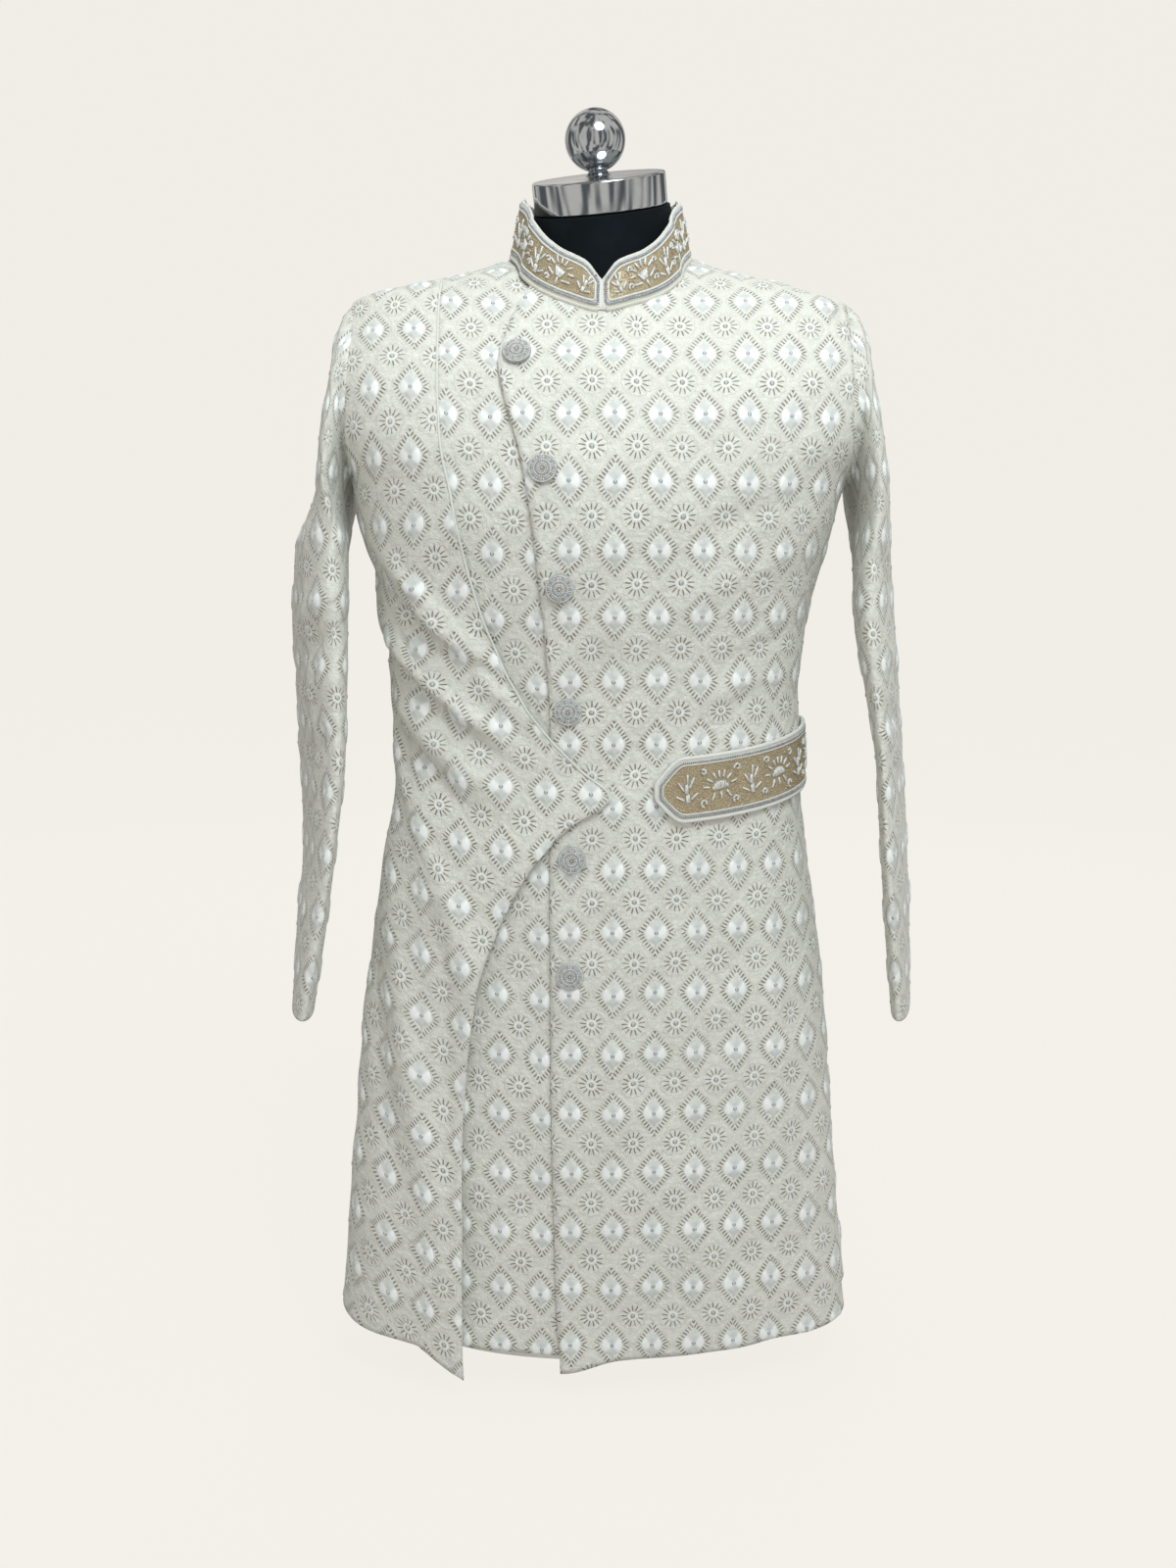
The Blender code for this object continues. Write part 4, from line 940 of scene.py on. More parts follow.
sleeves = {
    # distance out and height of the outer and of the underarm point, middle fore and aft, half depth
    "head": (
        (0.2338, 1.011, 0.2302, 0.856, 0.004, 0.078), (0.2396, 0.994, 0.2318, 0.85, 0.003, 0.082),
        (0.244, 0.966, 0.2332, 0.842, 0.002, 0.085), (0.2508, 0.931, 0.2342, 0.832, 0.0, 0.087),
        (0.258, 0.892, 0.235, 0.82, -0.002, 0.088), (0.2655, 0.852, 0.2356, 0.805, -0.004, 0.088)),
    "left": (
        (0.2705, 0.8, 0.236, 0.78, -0.006, 0.087), (0.2755, 0.74, 0.2385, 0.734, -0.009, 0.086),
        (0.281, 0.67, 0.251, 0.668, -0.012, 0.084), (0.2855, 0.6, 0.263, 0.6, -0.015, 0.081),
        (0.2905, 0.53, 0.268, 0.53, -0.018, 0.077), (0.295, 0.45, 0.273, 0.45, -0.022, 0.071),
        (0.2985, 0.367, 0.28, 0.367, -0.026, 0.064)),
    "right": (
        (0.2835, 0.8, 0.238, 0.78, -0.006, 0.084), (0.287, 0.74, 0.242, 0.734, -0.009, 0.082),
        (0.284, 0.67, 0.245, 0.668, -0.012, 0.08), (0.28, 0.6, 0.249, 0.6, -0.015, 0.078),
        (0.28, 0.53, 0.256, 0.53, -0.018, 0.077), (0.2895, 0.45, 0.264, 0.45, -0.022, 0.071),
        (0.297, 0.367, 0.275, 0.367, -0.026, 0.064)),
    "sides": 80, "rowsPerRing": 8, "start": -0.0012, "turnRings": (3.0, 7.5), "flatRow": 0.7,
    # rows between the armhole and the first ring, and how far they swell
    "leadRows": (0.0, 0.12, 0.26, 0.42, 0.6, 0.8), "leadSwell": 0.0012,
    # how blunt the front and back edges are, and how far the forearm is turned inward at the front
    "bluntness": 0.8,
    "turnInLeft": ((0.95, 0.1), (0.8, 0.2), (0.55, 0.26), (0.37, 0.22)),
    "turnInRight": ((0.9, 0.3), (0.6, 0.34), (0.45, 0.24), (0.37, 0.16)),
    # length round from the outer line (forward is plus) and height, as the panels' creases
    "leftCreases": (
        (0.12, 0.8, -0.01, 0.745, -0.0044, 0.013, 0.004), (0.1, 0.72, 0.0, 0.69, 0.0036, 0.013, -0.004),
        (0.095, 0.66, 0.01, 0.628, -0.0046, 0.011, 0.003), (0.11, 0.64, 0.03, 0.6, 0.0036, 0.011, 0.003),
        (0.06, 0.6, -0.03, 0.585, -0.0022, 0.01, 0.003), (0.09, 0.56, 0.02, 0.52, 0.0018, 0.016, 0.0),
        (-0.11, 0.8, -0.01, 0.76, 0.0024, 0.016, 0.004), (-0.1, 0.69, -0.01, 0.64, -0.003, 0.013, 0.004),
        (-0.12, 0.64, -0.03, 0.612, 0.0022, 0.012, 0.003), (-0.08, 0.5, -0.01, 0.44, 0.0016, 0.018, 0.0)),
    "rightCreases": (
        (0.06, 0.9, 0.052, 0.48, 0.0026, 0.014, 0.004), (0.03, 0.88, 0.024, 0.48, -0.0026, 0.012, 0.004),
        (0.148, 0.905, 0.06, 0.815, 0.0046, 0.016, 0.006), (0.16, 0.87, 0.07, 0.775, -0.0054, 0.012, 0.004),
        (0.12, 0.775, 0.03, 0.732, 0.0042, 0.015, -0.005),
        (0.13, 0.735, 0.03, 0.694, -0.0056, 0.012, 0.005),
        (0.11, 0.69, 0.034, 0.66, 0.0036, 0.012, 0.003), (0.105, 0.64, 0.015, 0.602, -0.0046, 0.011, 0.004),
        (0.09, 0.585, 0.01, 0.56, -0.0024, 0.01, 0.003), (-0.11, 0.85, -0.005, 0.78, 0.003, 0.018, 0.004),
        (-0.12, 0.72, -0.015, 0.668, -0.0034, 0.014, -0.004),
        (-0.105, 0.64, -0.02, 0.6, 0.0026, 0.013, 0.004),
        (-0.09, 0.52, -0.015, 0.47, -0.0018, 0.014, 0.003), (0.07, 0.5, 0.01, 0.42, 0.0018, 0.018, 0.002)),
}


def armholePoint(turn, height):
    def away(turnedTo):
        return coatPoint(side - turn * (side - turnedTo), height).x - coatShape["armhole"]
    angle = side - turn * (side - solve(away, 0.2, side))
    return coatPoint(angle, height), coatNormal(angle, height)


def makeSleeve(name, node, rings, creases, way, frontLayer):
    sides = sleeves["sides"]
    turns = [back + 2 * math.pi * step / sides for step in range(sides + 1)]
    middle = (coatShape["shoulder"] + coatShape["armpit"]) / 2
    half = (coatShape["shoulder"] - coatShape["armpit"]) / 2
    rows, head, lead = [], [], []
    for turn in turns:
        height = middle + half * math.cos(turn) * 0.9995
        point, normal = armholePoint(1 if math.sin(turn) >= 0 else -1, height)
        layers = cloth + frontLayer * fade(math.sin(turn), -0.5, 0.0)
        spread = Vector((0, -math.sin(turn) / 0.07, math.cos(turn) / half)).normalized()
        head.append(point + Vector((sleeves["start"], 0, 0)) + spread * (layers + 0.0006))
    ringAt = smoothTable(tuple((index, *ring) for index, ring in enumerate(rings)))
    turnIn = sleeves["turnInLeft" if way > 0 else "turnInRight"]
    levels, turnIns = [-level for level, _ in turnIn], [amount for _, amount in turnIn]
    steps = (len(rings) - 1) * sleeves["rowsPerRing"]
    for step in range(steps + 1):
        out, outZ, under, underZ, fore, depth = ringAt((len(rings) - 1) * step / steps)
        top, low = Vector((out, fore, outZ)), Vector((under, fore, underZ))
        centre, arm, ahead = (top + low) / 2, (top - low) / 2, Vector((0, -depth, 0))
        line = []
        bluntness = 1 - (1 - sleeves["bluntness"]) * fade(step, 0, sleeves["rowsPerRing"] * 6)
        turnedBy = fade(step / sleeves["rowsPerRing"], *sleeves["turnRings"])
        for turn in turns:
            forward = math.copysign(abs(math.sin(turn)) ** bluntness, math.sin(turn))
            point = centre + arm * math.cos(turn) + ahead * forward
            point.x += (point.y - fore) * np.interp(-point.z, levels, turnIns) * turnedBy
            normal = (arm * (math.cos(turn) / arm.length_squared)
                      + ahead * (math.sin(turn) / ahead.length_squared)).normalized()
            line.append((point, normal))
        lengths = lengthsAlong(np.array([point for point, _ in line]))
        outer = lengths[sides // 2]
        row = []
        for (point, normal), place in zip(line, lengths):
            settled = fade(step, 0, sleeves["rowsPerRing"] * 2)
            stand = foldHeight(place - outer, point.z, creases) * settled
            row.append((*(point + normal * stand), place - outer, *point))
        rows.append(row)
    for share in sleeves["leadRows"]:
        row = []
        for start, first in zip(head, rows[0]):
            end = Vector(first[:3])
            outward = Vector((0, start.y - 0.004, start.z - middle)).normalized()
            place = start + (end - start) * share
            place += outward * sleeves["leadSwell"] * math.sin(math.pi * share)
            row.append((*place, first[3], *place))
        lead.append(row)
    points = np.array(lead + rows)
    points[:, :, [0, 4]] *= way
    points = points[::-1, ::-1] if way > 0 else points[::-1]
    start = int(np.argmin(np.abs(points[:, sides // 2, 2] - sleeves["flatRow"])))
    girth = points[:, :, 3] * (-1 if way > 0 else 1)
    # cloth coordinates follow the sleeve without its creases: up from the start row over its surface,
    # and down from it by the length round and the length down
    flat = layFlat(points[:, :, 4:7], girth[start], start)
    steps = np.linalg.norm(np.diff(points[:start + 1, :, 4:7], axis=0), axis=2)
    drops = np.sqrt(np.maximum(steps ** 2 - np.diff(girth[:start + 1], axis=0) ** 2, 0))
    flat[:start, :, 0] = girth[:start]
    flat[:start, :, 1] = -np.cumsum(drops[::-1], axis=0)[::-1]
    makePanel(name, node, points, flat, around=True)


makeSleeve("sleeveLeft", "sleeve_left", sleeves["head"] + sleeves["left"], sleeves["leftCreases"], 1, 0.0)
makeSleeve("sleeveRight", "sleeve_right", sleeves["head"] + sleeves["right"],
           sleeves["rightCreases"], -1, cloth + overlay["gap"])
print("sleeves made")


eyes = {
    # degrees round the outline, and the share of the outline and rise of each ring
    "turns": (0, 9, 24, 56, 90, 124, 156, 171, 180, 189, 204, 236, 270, 304, 336, 351),
    "rings": ((1.0, 0.00005), (0.8, 0.00085), (0.46, 0.0012)), "dimple": 0.0005,
    "satinReach": 0.0094, "pointTop": 0.012, "pointBottom": 0.0138, "pointSide": 0.0058,
    "sequinRadius": 0.0021, "sequinSides": 8, "sequinRise": 0.0009, "burstRise": 0.0003,
    "stitch": (0.00055, 0.00024, 0.0019, 0.00035),
}


def ringQuads(rings, sides, base=0):
    # faces between rings of points, each ring after the last
    return [(base + ring * sides + step, base + (ring + 1) * sides + step,
             base + (ring + 1) * sides + (step + 1) % sides, base + ring * sides + (step + 1) % sides)
            for ring in range(rings - 1) for step in range(sides)]


def circle(radius, height, sides):
    return [(radius * math.cos(2 * math.pi * step / sides), radius * math.sin(2 * math.pi * step / sides),
             height) for step in range(sides)]


def eyeReach(turn):
    # outline of a satin eye: a round one with a small point above and below
    across, upward = abs(math.sin(turn)), math.cos(turn)
    point = eyes["pointTop"] if upward > 0 else eyes["pointBottom"]
    return max(eyes["satinReach"], 1 / (across / eyes["pointSide"] + abs(upward) / point))


def eyeShape():
    # (u, v, rise) of one eye, and its faces
    turns = [math.radians(degrees) for degrees in eyes["turns"]]
    sides = len(turns)
    shape = [(math.sin(t) * eyeReach(t) * part, math.cos(t) * eyeReach(t) * part, rise)
             for part, rise in eyes["rings"] for t in turns]
    shape.append((0.0, 0.0, eyes["dimple"]))
    last = (len(eyes["rings"]) - 1) * sides
    faces = ringQuads(len(eyes["rings"]), sides)
    faces += [(last + step, len(shape) - 1, last + (step + 1) % sides) for step in range(sides)]
    return np.array(shape), faces


def sequinShape(rise):
    sides, radius = eyes["sequinSides"], eyes["sequinRadius"]
    shape = np.array(circle(radius, rise - 0.0005, sides) + circle(radius * 0.93, rise, sides))
    faces = ringQuads(2, sides) + [tuple(2 * sides - 1 - step for step in range(sides))]
    return shape[:, [1, 0, 2]], faces


def stitchShape(rise):
    # the two upright threads that hold a sequin
    offset, half, reach, high = eyes["stitch"]
    shape, faces = [], []
    for middle in (-offset, offset):
        base = len(shape)
        for v, lift in ((-reach, -0.0002), (-reach * 0.7, high), (reach * 0.7, high), (reach, -0.0002)):
            shape += [(middle - half, v, rise + lift), (middle + half, v, rise + lift)]
        faces += [(base + 2 * step, base + 2 * step + 1, base + 2 * step + 3, base + 2 * step + 2)
                  for step in range(3)]
        faces += [(base, base + 2, base + 4, base + 6), (base + 7, base + 5, base + 3, base + 1)]
    return np.array(shape), faces


def latticePoints(flat, half):
    width, height = motif["width"] / 1000, motif["height"] / 1000
    low, high = flat.reshape(-1, 2).min(0), flat.reshape(-1, 2).max(0)
    across = np.arange(math.floor(low[0] / width), math.ceil(high[0] / width) + 1) + half
    upward = np.arange(math.floor(low[1] / height), math.ceil(high[1] / height) + 1) + half
    return np.array([(u * width, v * height) for v in upward for u in across])


def settle(surface, centres, shape, keep):
    # copies of a shape laid on the cloth; a copy that runs past an edge is cut off along it
    rows, columns = surface.start(centres)
    wanted = centres[:, None, :] + shape[None, :, :2]
    count = wanted.shape[1]
    places, normals, gap = surface.find(wanted, np.repeat(rows[:, None], count, 1),
                                        np.repeat(columns[:, None], count, 1))
    inside = (gap < 0.0004).mean(axis=1) >= keep
    rise = np.where(gap < 0.0004, shape[None, :, 2], 0.00005)
    return (places + normals * rise[..., None])[inside], wanted[inside]


def copiesMesh(name, groups):
    # one mesh of many copies: (places, cloth coordinates, faces, material)
    verts, faces, slots, corners, base = [], [], [], [], 0
    for places, flat, shapeFaces, slotIndex in groups:
        for place, spot in zip(places, flat):
            verts += place.tolist()
            for face in shapeFaces:
                faces.append([base + index for index in face])
                corners += [spot[index] for index in face]
            slots += [slotIndex] * len(shapeFaces)
            base += len(place)
    mesh = bpy.data.meshes.new(name)
    mesh.from_pydata(verts, [], faces)
    mesh.polygons.foreach_set("material_index", slots)
    mesh.uv_layers.new(name="clothMetres").data.foreach_set("uv", np.array(corners, dtype=float).ravel())
    mesh.shade_smooth()
    return linked(name, mesh)


def makeEyes(name):
    surface = surfaces[name]
    eye, eyeFaces = eyeShape()
    groups = [(*settle(surface, latticePoints(surface.flat, 0.0), eye, 0.4), eyeFaces, 0)]
    for half, rise in ((0.0, eyes["sequinRise"]), (0.5, eyes["burstRise"])):
        for (shape, faces), slotIndex in ((sequinShape(rise), 1), (stitchShape(rise), 2)):
            groups.append((*settle(surface, latticePoints(surface.flat, half), shape, 1.0), faces, slotIndex))
    piece = copiesMesh(name + "Eyes", groups)
    dress(piece, (satinMaterial, sequinMaterial, threadMaterial))
    return piece


def makeSatin():
    item, tree, shader = newMaterial("satinEye", clothLook["satin"], 0.42,
                                     shaderValues=(("Sheen Weight", 0.2),))
    lattice = placeGroup(tree, embroidery, Place=clothPlace(tree))
    # the raised eyes take the same painted sheen: lit and shaded satin colours mixed by the wedge
    wire(tree, mixColour(tree, lattice["Sheen"], clothLook["satinShade"], clothLook["satin"]),
         shader["Base Color"])
    bumpOf(tree, shader, waveOf(tree, clothPlace(tree), 420.0, 1.5, "Y"), 0.00025, 0.5)
    return item


def makeMetal(name, colour, roughness, grainScale, depth, metallic=1.0, shaderValues=()):
    # metal with a fine grain and faint handling marks
    item, tree, shader = newMaterial(name, colour, roughness, metallic, shaderValues)
    fine = placeGroup(tree, surfaceGrain, Place=objectPlace(tree), Scale=grainScale)
    maths = mathsFor(tree)
    rougher = maths("ADD", roughness, maths("MULTIPLY", fine["Marks"], roughness * 0.6))
    wire(tree, rougher, shader["Roughness"])
    wire(tree, mixColour(tree, fine["Marks"], colour, darker(colour, 0.88)), shader["Base Color"])
    bumpOf(tree, shader, fine["Grain"], depth, 0.3)
    return item


def makeGrain():
    tree, given, result = newGroup("surfaceGrain", ("Grain", "Marks"), Scale=400.0)
    fine = nodeOf(tree, "TexNoise", given["Place"], Detail=3.0, Roughness=0.5)
    wire(tree, given["Scale"], fine.inputs["Scale"])
    wire(tree, fine.outputs["Fac"], result["Grain"])
    broad = noiseOf(tree, given["Place"], 28.0, 4.0, 0.6)
    wire(tree, smoothRange(tree, broad, 0.42, 0.68), result["Marks"])
    return tree


surfaceGrain = makeGrain()
satinMaterial = makeSatin()
threadMaterial = makePlain("sequinThread", tone(226, 228, 224))
sequinMaterial = makeMetal("sequinFoil", tone(162, 164, 161), 0.42, 900.0, 0.0001, 0.3)
panelEyes = {name: makeEyes(name) for name in surfaces}
print("raised motifs made")


def tubePiece(name, path, radius, closed=False, sides=8):
    path = [Vector(point) for point in path]
    count = len(path)
    bm = bmesh.new()
    rings, sideways = [], None
    for index, point in enumerate(path):
        before = path[(index - 1) % count] if closed or index else point
        after = path[(index + 1) % count] if closed or index < count - 1 else point
        ahead = (after - before).normalized()
        sideways = ahead.orthogonal() if sideways is None else sideways - ahead * sideways.dot(ahead)
        sideways.normalize()
        over = ahead.cross(sideways)
        rings.append([bm.verts.new(point + (sideways * math.cos(t) + over * math.sin(t)) * radius)
                      for t in (2 * math.pi * step / sides for step in range(sides))])
    shift = 0
    if closed:
        # the last ring joins the first at the turn where they lie closest
        shift = min(range(sides), key=lambda s: (rings[-1][0].co - rings[0][s].co).length)
    for index in range(count if closed else count - 1):
        low, high = rings[index], rings[(index + 1) % count]
        turnBy = shift if closed and index == count - 1 else 0
        for step in range(sides):
            bm.faces.new((low[step], low[(step + 1) % sides],
                          high[(step + 1 + turnBy) % sides], high[(step + turnBy) % sides]))
    if not closed:
        bm.faces.new(rings[0][::-1])
        bm.faces.new(rings[-1])
    return meshPiece(name, bm)


def beadShape(sides=6):
    # a low round bead of unit radius that lies on its surface
    shape = [(0.0, 0.0, 1.0)]
    for radius, height in ((0.78, 0.7), (1.0, 0.05), (0.8, -0.55)):
        shape += circle(radius, height, sides)
    faces = [(0, 1 + step, 1 + (step + 1) % sides) for step in range(sides)]
    return np.array(shape), faces + ringQuads(3, sides, 1)


def bugleShape(sides=5):
    # a short tube bead of unit length that lies along its own u
    shape = []
    for along, radius in ((-0.5, 0.55), (-0.44, 1.0), (0.44, 1.0), (0.5, 0.55)):
        shape += circle(radius, along, sides)
    faces = [(face[0], *face[:0:-1]) for face in ringQuads(4, sides)]
    faces += [tuple(range(sides))[::-1], tuple(3 * sides + step for step in range(sides))]
    return np.array(shape)[:, [2, 0, 1]], faces


roundBead, roundFaces = beadShape()
tubeBead, tubeFaces = bugleShape()


def beadsOn(surface, spots, radius, sink=0.35):
    # round beads at cloth coordinates
    return beadsAt(*surface.spotsAt(spots), radius, sink)


def beadsAt(places, normals, radius, sink=0.35):
    made = []
    for place, normal in zip(places, normals):
        turn = Vector(normal).to_track_quat("Z", "Y").to_matrix()
        lift = np.array(normal) * radius * (1 - sink)
        made.append(np.array(place) + lift + (roundBead * radius) @ np.array(turn.transposed()))
    return made


def buglesOn(surface, strokes, radius):
    # tube beads between two cloth coordinates
    places, normals = surface.spotsAt([end for stroke in strokes for end in stroke])
    made = []
    for index in range(len(strokes)):
        start, end = Vector(places[2 * index]), Vector(places[2 * index + 1])
        normal = Vector(normals[2 * index] + normals[2 * index + 1]).normalized()
        run = end - start
        ahead = run.normalized()
        over = normal.cross(ahead).normalized()
        frameOf = np.array([ahead * run.length, over * radius, normal * radius])
        made.append(np.array((start + end) / 2 + normal * radius * 0.7) + tubeBead @ frameOf)
    return made


def beadPiece(name, groups, materials):
    # groups: (copies, faces, material); their cloth coordinates aren't needed
    piece = copiesMesh(name, [(copies, [place[:, :2] for place in copies], faces, index)
                              for copies, faces, index in groups])
    dress(piece, materials)
    return piece


trimLook = {
    "gold": tone(216, 202, 173), "goldBeadShade": tone(166, 149, 116), "silver": tone(184, 187, 188),
    "white": tone(228, 230, 225), "cord": tone(228, 229, 222), "pearl": tone(230, 222, 200),
    "margin": tone(206, 204, 194),
}


def makeBeadGround(name):
    # rows of tiny seed beads, packed close
    item, tree, shader = newMaterial(name, trimLook["gold"], 0.36, 0.35)
    cells = nodeOf(tree, "TexVoronoi", clothPlace(tree), Scale=760.0, Randomness=0.75)
    maths = mathsFor(tree)
    dome = smoothRange(tree, cells.outputs["Distance"], 0.12, 0.66, 1.0, 0.0)
    split = tree.nodes.new("ShaderNodeSeparateColor")
    wire(tree, cells.outputs["Color"], split.inputs[0])
    # painted shade: each bead is lighter at its middle and darker towards its edge and between the beads; the
    # pearl beads, picked at random, are painted brightest at their middles
    colour = mixColour(tree, dome, trimLook["goldBeadShade"], trimLook["gold"])
    light = maths("MULTIPLY", smoothRange(tree, split.outputs[0], 0.55, 0.95), dome)
    colour = mixColour(tree, maths("MULTIPLY", light, 0.8), colour, trimLook["pearl"])
    margin = tree.nodes.new("ShaderNodeAttribute")
    margin.attribute_name = "edgeMetres"
    beaded = smoothRange(tree, margin.outputs["Fac"], 0.0052, 0.0058)
    wire(tree, mixColour(tree, beaded, trimLook["margin"], colour), shader["Base Color"])
    wire(tree, maths("MULTIPLY", beaded, 0.3), shader["Metallic"])
    bumpOf(tree, shader, maths("MULTIPLY", dome, beaded), 0.0008, 0.9)
    return item


def makeThread(name, colour, roughness=0.6):
    # wound or braided thread
    item, tree, shader = newMaterial(name, colour, roughness, shaderValues=(("Sheen Weight", 0.2),))
    wave = waveOf(tree, objectPlace(tree), 380.0, 2.0, "DIAGONAL")
    # painted shade: the twist is darker in its grooves, where the bump is low
    wire(tree, mixColour(tree, wave, darker(colour, 0.8), colour), shader["Base Color"])
    bumpOf(tree, shader, wave, 0.0003, 0.5)
    return item


def makeGlass(name, colour, roughness, metallic):
    # opaque glass beads, each a little different
    item, tree, shader = newMaterial(name, colour, roughness, metallic, (("Coat Weight", 0.6),))
    spots = noiseOf(tree, objectPlace(tree), 330.0, 1.0)
    vary = smoothRange(tree, spots, 0.3, 0.7)
    wire(tree, mixColour(tree, vary, darker(colour, 0.72), colour), shader["Base Color"])
    return item


beadGround = makeBeadGround("goldSeedBeads")
whiteCord = makeThread("whiteCord", trimLook["cord"])
plainCord = makeThread("clothCord", clothLook["plain"], 0.7)
silverGlass = makeGlass("silverBeads", trimLook["silver"], 0.26, 0.4)
whiteGlass = makeGlass("whiteBugles", trimLook["white"], 0.28, 0.0)
goldGlass = makeGlass("goldBeads", trimLook["gold"], 0.25, 0.6)
bandSet = (beadGround, wrongSide, whiteCord)


collarShape = {
    "height": 0.047, "lean": (0.0095, 0.005), "gap": 0.0012, "seat": 0.001, "wall": 0.003,
    "riseStart": (-0.108, -0.062), "columns": 300, "rows": 14, "density": 0.055, "swell": 0.0006,
    # degrees seen from above, how much the top edge drops
    "ends": ((0, 0.0215), (3, 0.018), (6, 0.0138), (9, 0.0102), (13, 0.008), (20, 0.0072),
             (28, 0.0066), (40, 0.004), (58, 0.0), (180, 0.0)),
    "piping": 0.0014, "ladderInset": 0.0034, "ladderLength": 0.0028, "ladderStep": 0.0016,
    "innerCordInset": 0.0061, "innerCord": 0.001, "bugle": 0.001, "seamCord": 0.0021,
    # where the figures start and how far apart they are; degrees that the seam's cord runs from and over
    "figureStart": 0.0165, "figureStep": 0.0258, "seamSpan": (2.2, 355.6), "seamSteps": 150,
}
collarDropAt = smoothTable(collarShape["ends"][:-1])


def collarStand(turn):
    # a point of the neckline, and its place on the cloth there with what lies under it
    angle = neckAngle(turn)
    height = neckHeight(angle)
    point, normal = coatPoint(angle, height), coatNormal(angle, height)
    rise = 0.0
    if point.y < 0:
        rise = fade(point.x, *collarShape["riseStart"]) * (1 - fade(point.x, *placket["fall"]))
    return point, normal, cloth + placket["lift"] * rise


def makeCollar():
    columns, rows = collarShape["columns"], collarShape["rows"]
    start = seamGap / 0.08
    places = np.zeros((rows + 1, columns + 1, 3))
    flat = np.zeros((rows + 1, columns + 1, 2))
    for column in range(columns + 1):
        part = column / columns
        part -= collarShape["density"] * math.sin(2 * math.pi * part)
        turn = start + (2 * math.pi - 2 * start) * part
        point, normal, stand = collarStand(turn)
        outward = Vector((point.x, point.y, 0)).normalized()
        base = point + normal * (stand + collarShape["gap"])
        base.z += collarShape["seat"]
        top = collarShape["height"] - collarDropAt(turned(math.degrees(turn)))[0]
        frontLean, backLean = collarShape["lean"]
        lean = frontLean + (backLean - frontLean) * fade(outward.y, 0, 1)
        for row in range(rows + 1):
            share = row / rows
            swell = collarShape["swell"] * math.sin(math.pi * share)
            places[row, column] = base + Vector((0, 0, top * share)) - outward * (lean * share - swell)
            flat[row, column, 1] = top * share
    return bandPiece("collarBand", places, flat, collarShape["wall"], "collar")


def bandPiece(name, places, flat, wall, node):
    flat[:, :, 0] = lengthsAlong(places[len(places) // 2])
    piece = gridObject(name, bandSet, places, flat)
    surface = Surface(places, flat)
    # how far each point lies from the band's edge, for the cream margin in its material
    edge = outlineOf(surface)[1]
    near = np.array([np.min(np.linalg.norm(edge - np.array(vert.co), axis=1))
                     for vert in piece.data.vertices])
    piece.data.attributes.new("edgeMetres", "FLOAT", "POINT").data.foreach_set("value", near)
    thicken(piece, wall)
    dress(piece, (), (node,))
    return surface


def outlineOf(surface):
    # the band's edge as cloth coordinates and places, once round
    rows, columns = surface.flat.shape[:2]
    order = ([(0, column) for column in range(columns)] + [(row, columns - 1) for row in range(1, rows)]
             + [(rows - 1, column) for column in range(columns - 2, -1, -1)]
             + [(row, 0) for row in range(rows - 2, 0, -1)])
    index = np.array(order)
    return surface.flat[index[:, 0], index[:, 1]], surface.places[index[:, 0], index[:, 1]]


def evenLine(line, step, closed=True):
    # points at an even step along a line, with the direction of each
    line = np.vstack([line, line[:1]]) if closed else np.array(line)
    lengths = lengthsAlong(line)
    count = max(4, round(lengths[-1] / step))
    places = np.linspace(0, lengths[-1], count, endpoint=not closed)
    even = np.stack([np.interp(places, lengths, line[:, axis]) for axis in range(line.shape[1])], axis=1)
    ahead = np.roll(even, -1, axis=0) - np.roll(even, 1, axis=0)
    if not closed:
        ahead[0], ahead[-1] = even[1] - even[0], even[-1] - even[-2]
    return even, unit(ahead)


def insetLine(outline, inset, corner=0.004):
    # the outline moved inward in the cloth, with its corners rounded
    even, ahead = evenLine(outline, 0.0012)
    inward = np.stack([-ahead[:, 1], ahead[:, 0]], axis=1)
    moved = even + inward * inset
    near = np.array([np.min(np.linalg.norm(even - place, axis=1)) for place in moved])
    moved = moved[near > inset * 0.93]
    width = max(1, round(corner / 0.0012))
    weights = np.hanning(2 * width + 3)[1:-1]
    weights /= weights.sum()
    padded = np.vstack([moved[-width:], moved, moved[:width]])
    return np.stack([np.convolve(padded[:, axis], weights, mode="valid") for axis in range(2)], axis=1)


def trimBand(name, surface, wall, shape, drawing):
    # piping round the edge, a ladder of silver beads, an inner cord and the drawn flowers
    outline, edge = outlineOf(surface)
    path, _ = evenLine(edge - surface.spotsAt(outline)[1] * wall * 0.42, 0.0028)
    piping = tubePiece(name + "Piping", path, shape["piping"], closed=True)
    dress(piping, (whiteCord,))
    ladder, ahead = evenLine(insetLine(outline, shape["ladderInset"]), shape["ladderStep"])
    over = np.stack([-ahead[:, 1], ahead[:, 0]], axis=1) * shape["ladderLength"] / 2
    rungs = buglesOn(surface, list(zip(ladder - over, ladder + over)), 0.00062)
    places, normals = surface.spotsAt(evenLine(insetLine(outline, shape["innerCordInset"], 0.006), 0.003)[0])
    cord = tubePiece(name + "InnerCord", places + normals * 0.0002, shape["innerCord"], closed=True, sides=6)
    dress(cord, (whiteCord,))
    strokes, dots = drawing
    beads = beadPiece(name + "Beads", (
        (rungs, tubeFaces, 0), (buglesOn(surface, strokes, shape["bugle"]), tubeFaces, 1),
        (beadsOn(surface, dots, 0.0009), roundFaces, 2)),
        (silverGlass, whiteGlass, goldGlass))
    return [piping, cord, beads]


def placed(strokes, middle, turn=0.0, size=1.0):
    # strokes drawn in millimetres, turned and moved onto the band
    turnCos, turnSin = math.cos(turn), math.sin(turn)

    def put(spot):
        x, y = spot[0] * size / 1000, spot[1] * size / 1000
        return (middle[0] + x * turnCos - y * turnSin, middle[1] + x * turnSin + y * turnCos)
    return [tuple(put(spot) for spot in stroke) for stroke in strokes]


